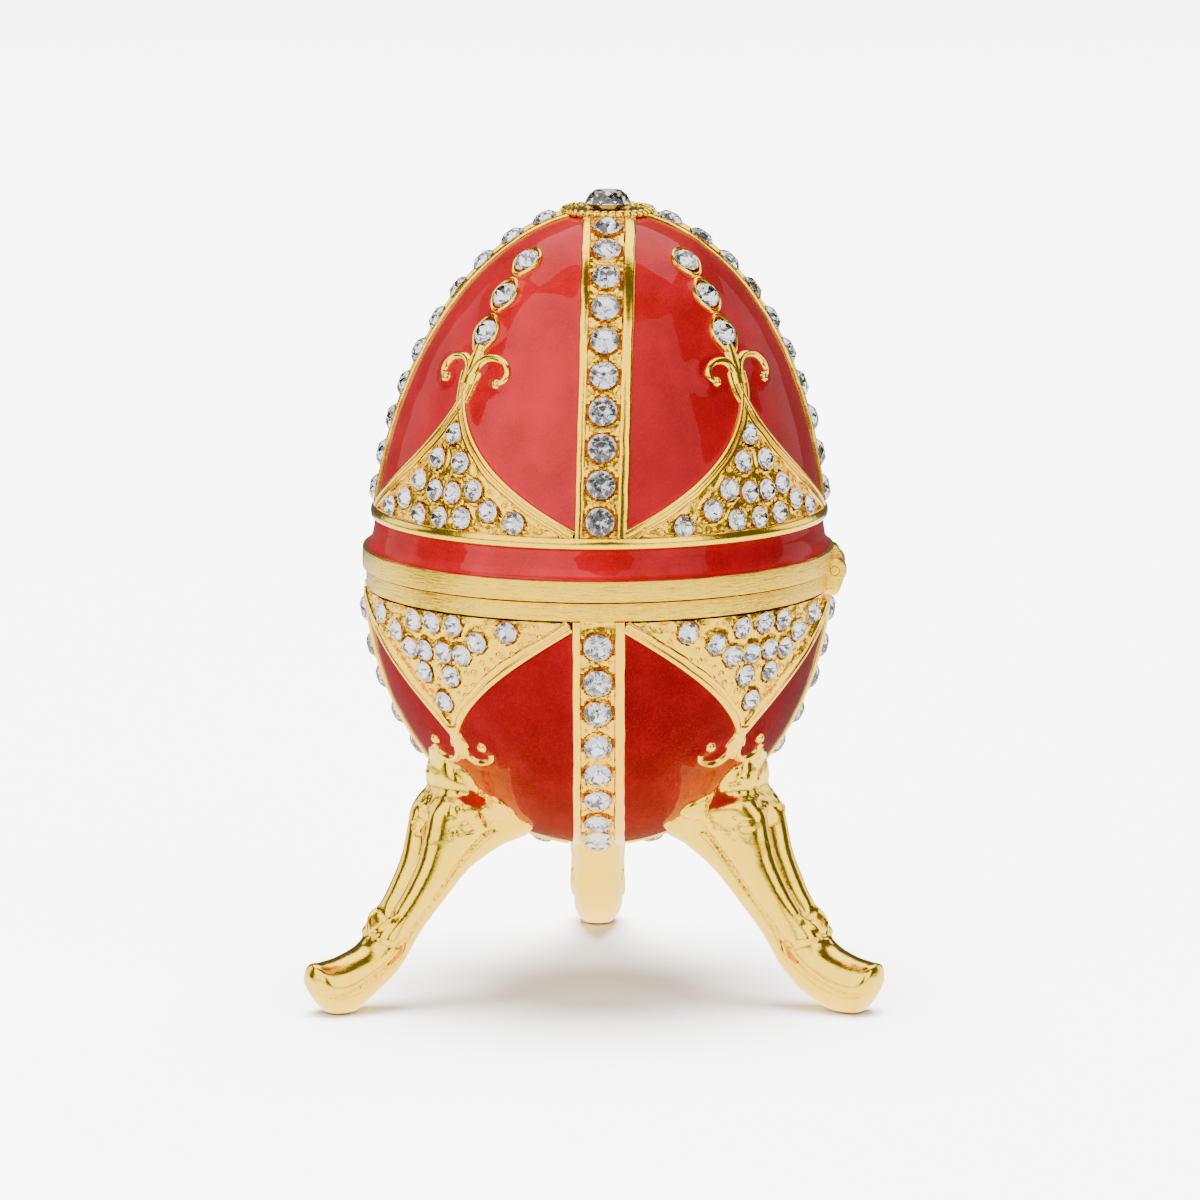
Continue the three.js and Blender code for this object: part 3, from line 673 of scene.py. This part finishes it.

# Lid enamel: translucent red enamel run into the fields between the bands and the triangles, and round the
# belt over the flange. It lies almost flush with the gold and thick round the scrolls and the settings, and
# painted shade darkens it along the gold edges.


def plate(top, under, quads, **facts):
    """A sheet made solid: a second sheet under it with the same faces, and a wall round each loose edge."""
    used, quads = np.unique(quads, return_inverse=True)
    quads = quads.reshape(-1, 4)
    count = len(used)
    edges = np.concatenate([quads[:, [i, (i + 1) % 4]] for i in range(4)])
    there, back = edges[:, 0] * count + edges[:, 1], edges[:, 1] * count + edges[:, 0]
    loose = edges[~np.isin(there, back)]
    walls = np.stack([loose[:, 1], loose[:, 0], loose[:, 0] + count, loose[:, 1] + count], -1)
    points = np.concatenate([top.reshape(-1, 3)[used], under.reshape(-1, 3)[used]])
    facts = {key: np.tile(value.ravel()[used], 2) for key, value in facts.items()}
    return closed(points, [quads, quads[:, ::-1] + count, walls], **facts)


def fields(half, turn, form, top_arc, scrolls, cups, balls):
    """The two fields beside a triangle, which join above its neck. Columns go from each band to the frame,
    or to the middle line. The skin swells a little, climbs at gold edges and pools round the scrolls."""
    _, base, neck, flare = form
    rows, columns = 100, 34
    arc = np.linspace(half.arc_at(base + 0.12), top_arc, rows)[:, None]
    share = np.linspace(0, 1, columns)
    share = 0.45 * share + 0.55 * (0.5 - 0.5 * np.cos(np.pi * share))
    near = np.arcsin(np.clip(BAND / half.round(arc), 0, 0.99))
    far = np.pi / 4 - spread_angle(half, half.rise(arc), base, neck, flare)
    angle = near + (far - near) * share
    from_band = (angle - near) * half.round(arc)
    from_frame = np.where(half.rise(arc) < neck, 0.8 * (far - angle) * half.round(arc), 9.0)
    angle = turn + np.concatenate([angle - np.pi / 4, np.pi / 4 - angle], axis=1)
    edge = np.tile(np.minimum(from_band, from_frame), 2)
    places = half.at(arc, angle)
    from_wire = np.linalg.norm(places[:, :, None] - scrolls, axis=-1).min(-1) - 0.3
    edge = np.minimum(edge, from_wire)
    lift = 0.16 + 0.05 * grain(places, 4.2, 31) + 0.02 * grain(places, 1.7, 32)
    from_ball = np.linalg.norm(places[:, :, None] - balls, axis=-1).min(-1)
    lift = lift + 0.09 * np.exp(-((from_wire / 0.55) ** 2)) + 0.2 * np.exp(-((from_ball / 0.8) ** 4))
    if len(cups):
        from_cup = np.linalg.norm(places[:, :, None] - cups, axis=-1).min(-1)
        edge = np.minimum(edge, from_cup - 1.35)
        lift = np.where(from_cup < 1.1, -1.0, lift)
    lift = lift + 0.07 * np.exp(-np.maximum(edge, 0) / 0.22)
    left = np.arange(rows * 2 * columns).reshape(rows, 2 * columns)[:, :columns]
    right = left[:, ::-1] + columns
    joined = (half.rise(arc) > neck) & (np.arange(columns) == 0)
    quads = np.concatenate([grid_quads(left), grid_quads(np.where(joined, left[:, -1:], right))])
    return plate(half.at(arc, angle, lift), half.at(arc, angle, -SUNK), quads, edge=np.maximum(edge, 0))


def scroll_points(half, turn, neck, controls, ball):
    """Points along both scrolls of a triangle, and their two balls."""
    line = curve(controls, 34)[::2]
    wires = np.concatenate([half.at(*beyond(half, turn, neck, line, side)) for side in (-1, 1)])
    balls = np.concatenate([half.at(*beyond(half, turn, neck, np.array([ball]), side)) for side in (-1, 1)])
    return wires, balls


def hoop(rings, **facts):
    """A closed skin over a ring of rings of points."""
    count, around = rings.shape[:2]
    index = np.pad(np.arange(count * around).reshape(count, around), ((0, 1), (0, 1)), mode="wrap")
    return closed(rings.reshape(-1, 3), [grid_quads(index)], **facts)


lid_enamel = []
lid_top_arc = LID.arc_at(disc_foot - SEAM) - 0.02
for turn in QUARTERS:
    wires, balls = scroll_points(LID, turn, LID_TRIANGLE[2], LID_SCROLL, LID_BALL)
    stem = LID.at(np.linspace(LID.arc_at(LID_TRIANGLE[2]), 21, 8), turn)
    wires = np.concatenate([wires, stem])
    lid_enamel.append(fields(LID, turn, LID_TRIANGLE, lid_top_arc, wires, LID.at(CHAIN, turn), balls))
belt = softened(
    [
        (18.4, 38.0), (19.74, 38.0), (19.42, 38.3), (19.22, 38.8), (19.08, 39.6), (18.99, 40.46),
        (18.4, 40.46),
    ],
    0.1,
)
belt_turn = 2 * np.pi * np.arange(180) / 180
belt_radius, belt_height = belt[:, :1], belt[:, 1:]
ripple = 0.03 * np.sin(5 * belt_turn) + 0.02 * np.sin(11 * belt_turn + 1)
belt_x = (belt_radius + ripple) * np.cos(belt_turn) + LID.lean * (belt_height - SEAM)
belt_y = (belt_radius + ripple) * np.sin(belt_turn)
belt_rings = np.stack(np.broadcast_arrays(belt_x, belt_y, belt_height), -1)
belt_edge = np.minimum(belt_rings[..., 2] - 38.05, 40.42 - belt_rings[..., 2]).clip(0)
lid_enamel.append(hoop(belt_rings, edge=belt_edge.ravel()))

enamel = Finish("red_enamel")
ground = enamel.noise(0.00028, 3, 0.6)
shade = enamel.noise(0.0035, 3)
# Painted shade: the red darkens along the gold edges, where the enamel meets the raised gold.
painted_edge_shade = (1 - enamel.attribute("edge") / 0.16).held()
red = enamel.blend((0.62, 0.0, 0.0, 1), (0.98, 0.0, 0.014, 1), (2.2 * shade - 0.6).held())
red = enamel.blend(red, (0.95, 0.01, 0.04, 1), (ground * 2.4 - 1.1).held() * 0.6)
red = enamel.blend(red, (0.30, 0.0, 0.0, 1), painted_edge_shade * 0.4)
red_enamel = enamel.finish(
    {
        "Base Color": red,
        "Metallic": 0.2,
        "Roughness": 0.36 + 0.2 * ground,
        "Specular Tint": (1.0, 0.05, 0.05, 1),
        "Normal": enamel.bump(ground, 0.00004, 0.8),
        "Coat Weight": 0.5,
        "Coat Roughness": 0.02,
    }
)
piece("lid_enamel", "lid", "enamel", lid_enamel, [red_enamel], 50)

# Lid stones: clear cut stones with a foil on their backs, glued in the seats of the lid's bands, triangles
# and chains. Each has a table, star, kite and half facets above its girdle and a pointed back.


def brilliant(table_share, crown, girdle, back):
    """Corners and faces of a cut stone of radius 1: table and mid rings of 8, girdle rings of 16, a point.
    The mid ring's height makes the kite facets flat. The back's faces come last and get the foil."""
    eight = np.pi / 4 * np.arange(8)
    sixteen = np.pi / 8 * np.arange(16)
    mid = 0.5 + table_share / 2
    mid_height = crown * (1 - mid * math.cos(np.pi / 8)) / (1 - table_share)

    def ring(turn, radius, height):
        return np.stack([radius * np.cos(turn), radius * np.sin(turn), np.full(len(turn), height)], -1)

    corners = np.concatenate(
        [
            ring(eight, table_share, crown),
            ring(eight + np.pi / 8, mid, mid_height),
            ring(sixteen, 1, 0),
            ring(sixteen, np.where(np.arange(16) % 2, math.cos(np.pi / 8), 1.0), -girdle),
            [[0, 0, -girdle - back]],
        ]
    )
    k, j = np.arange(8), np.arange(16)
    after, before, follow = (k + 1) % 8, (k - 1) % 8, (j + 1) % 16
    star = np.stack([k, 8 + k, after], -1)
    kite = np.stack([k, 8 + before, 16 + 2 * k, 8 + k], -1)
    halves = np.concatenate(
        [
            np.stack([8 + k, 16 + 2 * k, 17 + 2 * k], -1),
            np.stack([8 + k, 17 + 2 * k, 16 + (2 * k + 2) % 16], -1),
        ]
    )
    waist = np.stack([16 + j, 32 + j, 32 + follow, 16 + follow], -1)
    behind = np.stack([32 + j, np.full(16, 48), 32 + follow], -1)
    return corners, [k[None], star, kite, halves, waist, behind]


FOIL_LAST = [0, 0, 0, 0, 0, 1]


def stones(half, arc, turn, radius, lift, seed, cut):
    """One cut stone at each place, spun and tilted a little by seeded chance, as one shape of many parts."""
    arc, turn, radius = np.broadcast_arrays(arc, turn, radius)
    chance = np.random.default_rng(seed)
    corners, faces = cut
    centre, level, uphill, normal = half.axes(arc, turn)
    spin = chance.uniform(0, 2 * np.pi, len(arc))[:, None]
    normal = normal + chance.normal(0, 0.035, len(arc))[:, None] * level
    normal = normal + chance.normal(0, 0.035, len(arc))[:, None] * uphill
    normal /= np.linalg.norm(normal, axis=-1, keepdims=True)
    first = np.cos(spin) * level + np.sin(spin) * uphill
    second = np.cross(normal, first)
    axes = np.stack([np.cross(second, normal), second, normal], 1) * radius[:, None, None]
    points = (centre + lift * normal)[:, None] + np.einsum("pk,nkd->npd", corners, axes)
    starts = len(corners) * np.arange(len(arc))[:, None, None]
    faces = [(block[None] + starts).reshape(-1, block.shape[1]) for block in faces]
    return closed(points.reshape(-1, 3), faces, finish=FOIL_LAST)


glass = Finish("clear_stone")
haze = glass.noise(0.0009)
clear_stone = glass.finish(
    {
        "Base Color": glass.blend((1, 1, 1, 1), (0.94, 0.96, 0.97, 1), haze),
        "Roughness": 0.01 + 0.02 * haze,
        "IOR": 1.54,
        "Transmission Weight": 1.0,
    }
)
back_foil = Finish("foil_back")
foil_tone = back_foil.blend((0.86, 0.86, 0.87, 1), (0.60, 0.59, 0.58, 1), back_foil.noise(0.0007))
foil_back = back_foil.finish(
    {"Base Color": foil_tone, "Metallic": 1.0, "Roughness": 0.04 + 0.1 * back_foil.noise(0.0004)}
)
LARGE_CUT = brilliant(0.52, 0.42, 0.06, 0.75)
SMALL_CUT = brilliant(0.50, 0.46, 0.08, 0.72)
BAND_STONE, BAND_LIFT = 1.19, 0.36
PAVE_STONE, PAVE_LIFT = 0.93, 0.30
CHAIN_STONE, CHAIN_LIFT = 1.15, 0.42
lid_stones = []
for i, turn in enumerate(BAND_TURNS):
    lid_stones.append(stones(LID, LID_BAND, turn, BAND_STONE, BAND_LIFT, 300 + i, LARGE_CUT))
for i, turn in enumerate(QUARTERS):
    arcs, angles = pave_places(LID, LID_PAVE, 100 + i)
    lid_stones.append(stones(LID, arcs, turn + angles, PAVE_STONE, PAVE_LIFT, 310 + i, SMALL_CUT))
    lid_stones.append(stones(LID, CHAIN, turn, CHAIN_STONE, CHAIN_LIFT, 320 + i, LARGE_CUT))
piece("lid_stones", "lid", "stone", lid_stones, [clear_stone, foil_back], 0)

# Top stone: one large clear cut stone with a foil on its back, set in the hollow in the middle of the disc.
# It is a little wider than its solid in the frame.
TOP_CROWN = 0.52
stone_low, stone_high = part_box("top_stone")
top_radius = 1.12 * 500 * (stone_high.x - stone_low.x)
top_cut, top_faces = brilliant(0.62, TOP_CROWN, 0.03, 0.6)
cosine, sine = math.cos(math.pi / 8), math.sin(math.pi / 8)
top_points = top_radius * top_cut @ np.array([[cosine, sine, 0], [-sine, cosine, 0], [0, 0, 1]])
top_height = 1000 * stone_high.z + 0.1 - TOP_CROWN * top_radius
top_points = top_points + [500 * (stone_high.x + stone_low.x), 0, top_height]
top_shape = closed(top_points, top_faces, finish=FOIL_LAST)
top_stone = piece("top_stone_cut", "lid", "stone", [top_shape], [clear_stone, foil_back], 0)
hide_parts("top_stone")

# Bowl casting: the lower cast half-egg, gold plated, with its plain rim, bands, triangle frames and small
# scrolls, closed at the bottom by a round boss. The bands run down between the legs, and the one behind ends
# above the back leg.
BOWL = EggHalf(19.55, 23.7, -1, 0)
BOWL_TRIANGLE = (1.75, 2.45, 13.6, 1.36)
BOWL_BAND = np.array([3.74, 6.90, 9.71, 13.03, 16.12, 19.31, 22.9, 26.2, 29.4])
BOWL_PAVE = [
    (2.65, 0), (2.75, -7), (2.7, 7.1), (3.95, -14.5), (3.9, 14.3), (2.75, -22.5), (2.8, 22.3),
    (5.05, -3.2), (5.0, 3.3), (5.15, -9.3), (5.1, 9.1), (7.05, -4.6), (7.0, 4.5), (9.35, 0),
]
BOWL_SCROLL = [(0.1, -0.4), (0.6, 0.7), (1.4, 1.35), (2.5, 1.3), (3.3, 0.8), (3.6, 0.1)]
BOWL_BALL = (2.9, -0.55)
BOSS = 3.2
BOSS_FOOT = 12.47
knee_arc = BOWL.arc_at(BOWL.height * math.sin(math.radians(49)))
bottom_arc = BOWL.arc_at(BOWL.height * math.sin(math.acos(BOSS / BOWL.radius)))
band_ends = [bottom_arc, bottom_arc, knee_arc - 5.3, bottom_arc]

bowl_inside = ellipse(BOWL, WALL, math.pi / 2, 0.003, 40)
bowl_rim = softened([(17.9, 36.09), (19.67, 36.09), (19.67, 34.55), (18.3, 34.5)], 0.14)
bowl_outside = ellipse(BOWL, SUNK, math.asin(2.0 / BOWL.height), math.acos(3.3 / BOWL.radius), 40)
boss = softened([(3.3, 12.9), (BOSS, BOSS_FOOT), (0, BOSS_FOOT)], 0.12)
bowl_outline = np.concatenate([bowl_inside[:-1], bowl_rim, bowl_outside, boss])
bowl_outline[0, 0] = 0
bowl_gold = [notched(turned(bowl_outline), 0, 1.2, 34.9, -1)]
for i, turn in enumerate(BAND_TURNS):
    in_band = BOWL_BAND[BOWL_BAND < band_ends[i] - 1.2]
    rails = (1.05, 1.35) if i == 0 else (1.1, 1.1)
    bowl_gold += band(BOWL, turn, 1.62, band_ends[i], in_band, 60 + 10 * i, rails)
for i, turn in enumerate(QUARTERS):
    pave = pave_places(BOWL, BOWL_PAVE, 140 + i)
    bowl_gold += triangle(BOWL, turn, BOWL_TRIANGLE, pave, 400 + 10 * i)
    tip = np.linspace(BOWL.arc_at(11.6), BOWL.arc_at(BOWL_TRIANGLE[2]) + 0.9, 14)
    tip_width = np.interp(np.arange(14), [0, 9, 13], [0.7, 0.75, 0.3])
    bowl_gold.append(ridge(BOWL, tip, np.full(14, turn), WIRE, tip_width))
    for side, size in ((-1, 1.0), (1, 0.9 + 0.1 * (i % 2))):
        bowl_gold += scroll(BOWL, turn, BOWL_TRIANGLE[2], BOWL_SCROLL, BOWL_BALL, size, side)

# Hinge: three knuckles on a pin, the outer two cast on the bowl and the middle one on the lid. Each runs into
# the wall of its shell by a rounded leaf.
HINGE_X = (pin_low.x + pin_high.x) * 500
KNUCKLE_HALF = 1.0667
KNUCKLE_PITCH = 2.433
BORE = 0.42


def knuckle(y, up, leaf):
    """A bored barrel. By direction from the pin, its outline is the larger of a circle and a rounded leaf."""
    turn = 2 * np.pi * np.arange(48) / 48
    direction = np.stack([np.cos(turn), up * np.sin(turn)], -1)
    slant = np.array([leaf, 0.7]) / math.hypot(leaf, 0.7)
    walls = np.array([slant, [0, 1], [-1, 0], [0, -1]])
    pull = (np.maximum(0, direction @ walls.T / [slant[0], leaf, 1.6, 0.3]) ** 9).sum(-1)
    radius = np.maximum(pull ** (-1 / 9), 1.0)
    half = KNUCKLE_HALF
    along = y + np.array([-half, -half + 0.1, half - 0.1, half, half, -half])[:, None]
    reach = np.stack([0.92 * radius, radius, radius, 0.92 * radius, np.full(48, BORE), np.full(48, BORE)])
    x, z = HINGE_X + reach * np.cos(turn), SEAM + reach * np.sin(turn)
    return hoop(np.stack(np.broadcast_arrays(x, along, z), -1))


bowl_gold += [knuckle(side * KNUCKLE_PITCH, -1, 2.1) for side in (-1, 1)]
bowl_casting = piece("bowl_casting", "box", "gold", bowl_gold, [gold_plate])
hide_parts("bowl")
piece("lid_knuckle", "lid", "gold", [knuckle(0, 1, 1.8)], [gold_plate])

pin_outline = softened([(0, -3.5), (0.4, -3.5), (0.4, 3.5), (0, 3.5)], 0.1)
pin_shape = turned(pin_outline, 32)
pin_points = pin_shape["points"]
pin_shape["points"] = np.stack([pin_points[:, 0] + HINGE_X, pin_points[:, 2], SEAM - pin_points[:, 1]], -1)
hinge_pin = piece("pin", "box", "gold", [pin_shape], [gold_plate])
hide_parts("hinge_pin")

# Bowl enamel and stones: the same red enamel as on the lid, run into the bowl's fields down to the boss, and
# the same two cuts of clear stone, glued in the seats of its bands and triangles.
bowl_enamel = []
for turn in QUARTERS:
    wires, balls = scroll_points(BOWL, turn, BOWL_TRIANGLE[2], BOWL_SCROLL, BOWL_BALL)
    bowl_enamel.append(fields(BOWL, turn, BOWL_TRIANGLE, bottom_arc, wires, [], balls))
piece("bowl_enamel", "box", "enamel", bowl_enamel, [red_enamel], 50)
bowl_stones = []
for i, turn in enumerate(BAND_TURNS):
    in_band = BOWL_BAND[BOWL_BAND < band_ends[i] - 1.2]
    bowl_stones.append(stones(BOWL, in_band, turn, BAND_STONE, BAND_LIFT, 330 + i, LARGE_CUT))
for i, turn in enumerate(QUARTERS):
    arcs, angles = pave_places(BOWL, BOWL_PAVE, 140 + i)
    bowl_stones.append(stones(BOWL, arcs, turn + angles, PAVE_STONE, PAVE_LIFT, 340 + i, SMALL_CUT))
piece("bowl_stones", "box", "stone", bowl_stones, [clear_stone, foil_back], 0)

# Legs: three gold castings soldered under the bowl. Each has a thick rough cap on the bowl's side, an arm
# under the bowl, a shank with a channel down its face that ends in a V at the ankle, and a slipper foot. The
# outer and inner edges are (distance from the axis, height) at even steps from the cap to the toe, the widths
# are at the same steps, and the section is (share of the way out from the middle, share of the width).
LEG_OUTER = [
    (14.9, 22.2), (15.6, 20.9), (15.8, 19.4), (15.75, 18.3), (16.35, 17.5), (17.1, 16.5), (17.5, 14.9),
    (18.1, 12.6), (19.2, 10.3), (20.3, 8.6), (21.7, 7.0), (23.0, 5.5), (24.9, 4.7), (26.6, 4.4), (27.6, 4.3),
    (28.0, 3.4),
]
LEG_INNER = [
    (13.4, 21.8), (12.6, 20.2), (11.2, 18.6), (10.1, 17.2), (8.9, 16.0), (7.6, 13.9), (9.6, 13.0),
    (12.3, 11.4), (14.1, 9.6), (15.7, 7.8), (17.2, 6.0), (18.9, 3.6), (21.2, 1.5), (23.6, 0.1), (25.8, -0.1),
    (27.4, 1.6),
]
LEG_WIDTH = [1.0, 2.0, 2.6, 2.7, 3.2, 3.2, 3.1, 2.9, 2.65, 2.4, 2.3, 2.45, 2.4, 2.3, 2.0, 1.1]
LEG_SECTION = [
    (0.48, 0), (0.62, 0.04), (0.80, 0.14), (0.94, 0.3), (1.0, 0.5), (0.96, 0.7), (0.82, 0.88), (0.55, 0.99),
    (0.2, 1.0), (0.0, 0.95), (-0.08, 0.70), (-0.18, 0.86), (-0.62, 0.80), (-0.86, 0.58), (-1.0, 0.3),
    (-1.03, 0),
]


def shank(inward, toe):
    """A leg's body at azimuth 0: the section is carried between the outer and the inner edge. Its channel
    opens below the knee and ends in a pocket behind a raised V, whose arms climb as they leave the middle.
    Along counts the control points. Inward moves the inner edge of the shank towards the egg's axis, and toe
    moves the end of the foot away from it."""
    outer = curve(LEG_OUTER, 260, even=True)
    inner = curve(LEG_INNER, 260, even=True)
    along = np.linspace(0, 15, 260)
    outer[:, 0] += toe * np.clip((along - 11) / 4, 0, 1)
    inner[:, 0] += toe * np.clip((along - 11) / 4, 0, 1) - inward * np.clip((along - 5) / 2, 0, 1)
    inner[:, 0] += inward * np.clip((along - 12) / 2, 0, 1)
    loop = np.array(LEG_SECTION + [(out, -across) for out, across in LEG_SECTION[-2::-1]])
    section = curve(loop, 145)[:-1]
    width = curve(np.array(LEG_WIDTH)[:, None], 260, even=True)
    middle, reach = (outer + inner) / 2, (outer - inner) / 2
    side = np.abs(section[:, 1])
    flat = np.where((side < 0.5) & (section[:, 0] > 0), 1.0, section[:, 0])
    domed = np.where(section[:, 0] > 0.1, np.sqrt(np.clip(1 - side**2, 0, 1)), section[:, 0])
    grooved = flat + np.clip((along - 4.6) / 1.2, 0, 1)[:, None] * (section[:, 0] - flat)
    out = domed + np.clip((10.6 - along) / 0.2, 0, 1)[:, None] * (grooved - domed)
    vee = along[:, None] - 10.5 + 1.4 * side
    front = np.clip(section[:, 0] / 0.4, 0, 1) * (side < 0.8)
    lip = 0.42 * np.exp(-((vee / 0.18) ** 2)) * front
    pocket = -0.6 * np.exp(-(((vee + 0.5) / 0.3) ** 2)) * front * np.clip(1.2 - 2 * side, 0, 1)
    pit = ((along[:, None] - 10.75) / 0.42) ** 2 + (section[:, 0] / 0.3) ** 2
    dimple = -0.7 * np.exp(-(pit**2))
    push = (lip + pocket)[..., None] * (reach / np.linalg.norm(reach, axis=1, keepdims=True))[:, None]
    x = middle[:, :1] + reach[:, :1] * out + push[..., 0]
    z = middle[:, 1:] + reach[:, 1:] * out + push[..., 1]
    fill = np.clip(5.4 - along, 0, 1)[:, None] * (section[:, 0] < 0.2)
    y = np.sign(section[:, 1]) * side ** (1 - 0.8 * fill) * (width + dimple * (side > 0.6))
    return np.stack([x, y, z], -1)


def patch(half, arc, turn, outline, lifts):
    """A low domed plate on the surface: copies of one outline shrink inwards while their lift grows."""
    angle = np.linspace(0, 2 * np.pi, len(outline), endpoint=False)
    arcs = arc - lifts[:, :1] * outline * np.sin(angle)
    turns = turn + lifts[:, :1] * outline * np.cos(angle) / half.round(arcs)
    return tube(half.at(arcs, turns, lifts[:, 1:]))


def fused(shapes, cell):
    """Overlapping shapes made one skin. A stand-in object is rebuilt from small cells by the Remesh modifier
    and smoothed, and its points, quads and normals are read back in mm about the egg's axis."""
    start, faces = 0, []
    for shape in shapes:
        faces += [face for block in shape["faces"] for face in (block + start).tolist()]
        start += len(shape["points"])
    mesh = bpy.data.meshes.new("stand_in")
    mesh.from_pydata(np.concatenate([shape["points"] for shape in shapes]) * 0.001, [], faces)
    stand_in = bpy.data.objects.new("stand_in", mesh)
    bpy.context.scene.collection.objects.link(stand_in)
    remesh = stand_in.modifiers.new("one_skin", "REMESH")
    remesh.mode = "VOXEL"
    remesh.voxel_size = cell * 0.001
    soften = stand_in.modifiers.new("soften", "SMOOTH")
    soften.factor, soften.iterations = 0.5, 2
    done = stand_in.evaluated_get(bpy.context.evaluated_depsgraph_get())
    skin = done.to_mesh()
    points = np.empty(3 * len(skin.vertices))
    normals = np.empty(3 * len(skin.vertices))
    quads = np.empty(len(skin.loops), int)
    skin.vertices.foreach_get("co", points)
    skin.vertices.foreach_get("normal", normals)
    skin.loops.foreach_get("vertex_index", quads)
    done.to_mesh_clear()
    bpy.data.objects.remove(stand_in)
    bpy.data.meshes.remove(mesh)
    return points.reshape(-1, 3) * 1000, quads.reshape(-1, 4), normals.reshape(-1, 3)


# A dome is (share of the outline, lift), the cap's edge is (across, uphill) from its middle, and a flap is
# (across, height, radius).
DOME = np.array(
    [
        (1, -0.5), (1, 0.35), (0.97, 0.52), (0.9, 0.68), (0.78, 0.9), (0.62, 1.2), (0.45, 1.5), (0.25, 1.8),
        (0.08, 1.9),
    ]
)
CAP_MIDDLE = 17.8
CAP_EDGE = [
    (2.9, -0.6), (2.7, 0.4), (2.6, 1.3), (2.9, 2.2), (2.9, 3.3), (1.7, 4.0), (1.2, 4.9), (0.2, 5.5),
    (-0.9, 5.2), (-1.7, 4.2), (-2.6, 3.2), (-2.9, 2.0), (-3.3, 0.8), (-3.3, -0.6), (-3.1, -2.2),
    (-1.6, -3.4), (1.5, -3.4), (3.1, -2.6), (3.0, -1.6), (2.9, -0.6),
]
FLAPS = [(2.7, 16.9, 1.5), (-2.7, 16.7, 1.5), (2.2, 15.4, 1.4), (-2.3, 15.3, 1.3)]


def leg(turn, seed, inward, toe, mirror):
    """One leg in place: body, cap plate and flaps fused to one skin. Its knee is then roughened in patches,
    and hollow is how far each point lies below the average of its neighbours. Mirror is 1 or -1."""
    body = shank(inward, toe)
    x, y = body[..., 0], body[..., 1] * mirror
    place = [x * np.cos(turn) - y * np.sin(turn), x * np.sin(turn) + y * np.cos(turn), body[..., 2]]
    parts = [tube(np.stack(place, -1))]
    arc = BOWL.arc_at(SEAM - CAP_MIDDLE)
    edge = curve(CAP_EDGE, 97)[:-1]
    bearing = np.arctan2(edge[:, 1], edge[:, 0] * mirror)
    order = np.argsort(bearing)
    angle = np.linspace(0, 2 * np.pi, 96, endpoint=False)
    size = np.interp(angle, bearing[order], np.hypot(*edge[order].T), period=2 * np.pi)
    chance = np.random.default_rng(seed)
    waves = (5, 9, 14, 19)
    ragged = sum(chance.uniform(0.01, 0.03) * np.cos(k * angle + chance.uniform(0, 6)) for k in waves)
    parts.append(patch(BOWL, arc, turn, size * (1 + ragged), DOME))
    for across, height, radius in FLAPS:
        spot = BOWL.arc_at(SEAM - height)
        lobe = radius * (1 + 0.1 * np.cos(3 * angle + across))
        shift = mirror * across / BOWL.round(spot)
        parts.append(patch(BOWL, spot, turn + shift, lobe, DOME * [1, 0.8]))
    points, quads, normals = fused(parts, 0.15)
    knee = np.clip((points[:, 2] - 13.5) / 2, 0, 1) * np.clip((20.5 - points[:, 2]) / 1.5, 0, 1)
    patchy = np.clip(3 * grain(points, 1.7, seed + 1) + 0.3, 0, 1)
    rough = 0.16 * grain(points, 0.5, seed + 2) + 0.10 * grain(points, 0.9, seed + 3)
    points = points + normals * (knee * patchy * rough + 0.06 * grain(points, 2.4, seed + 4))[:, None]
    here, beside = quads.ravel(), np.roll(quads, -1, axis=1).ravel()
    count = np.bincount(here, minlength=len(points))
    mean = np.stack([np.bincount(here, points[beside, i], len(points)) / count for i in range(3)], -1)
    hollow = np.clip(np.einsum("ij,ij->i", mean - points, normals) * 40, 0, 1)
    points[:, 2] = np.maximum(points[:, 2], 0)
    return closed(points, [quads], hollow=hollow)


leg_facts = [
    ("leg_left", -150, 500, -0.8, 0.15, 1),
    ("leg_right", -30, 520, 0.7, -0.5, -1),
    ("leg_back", 90, 540, 0.0, 0.0, 1),
]
for name, degrees, seed, inward, toe, mirror in leg_facts:
    shape = leg(math.radians(degrees), seed, inward, toe, mirror)
    casting = piece(name + "_casting", "box", "gold", [shape], [gold_plate], 60)
    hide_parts(name)
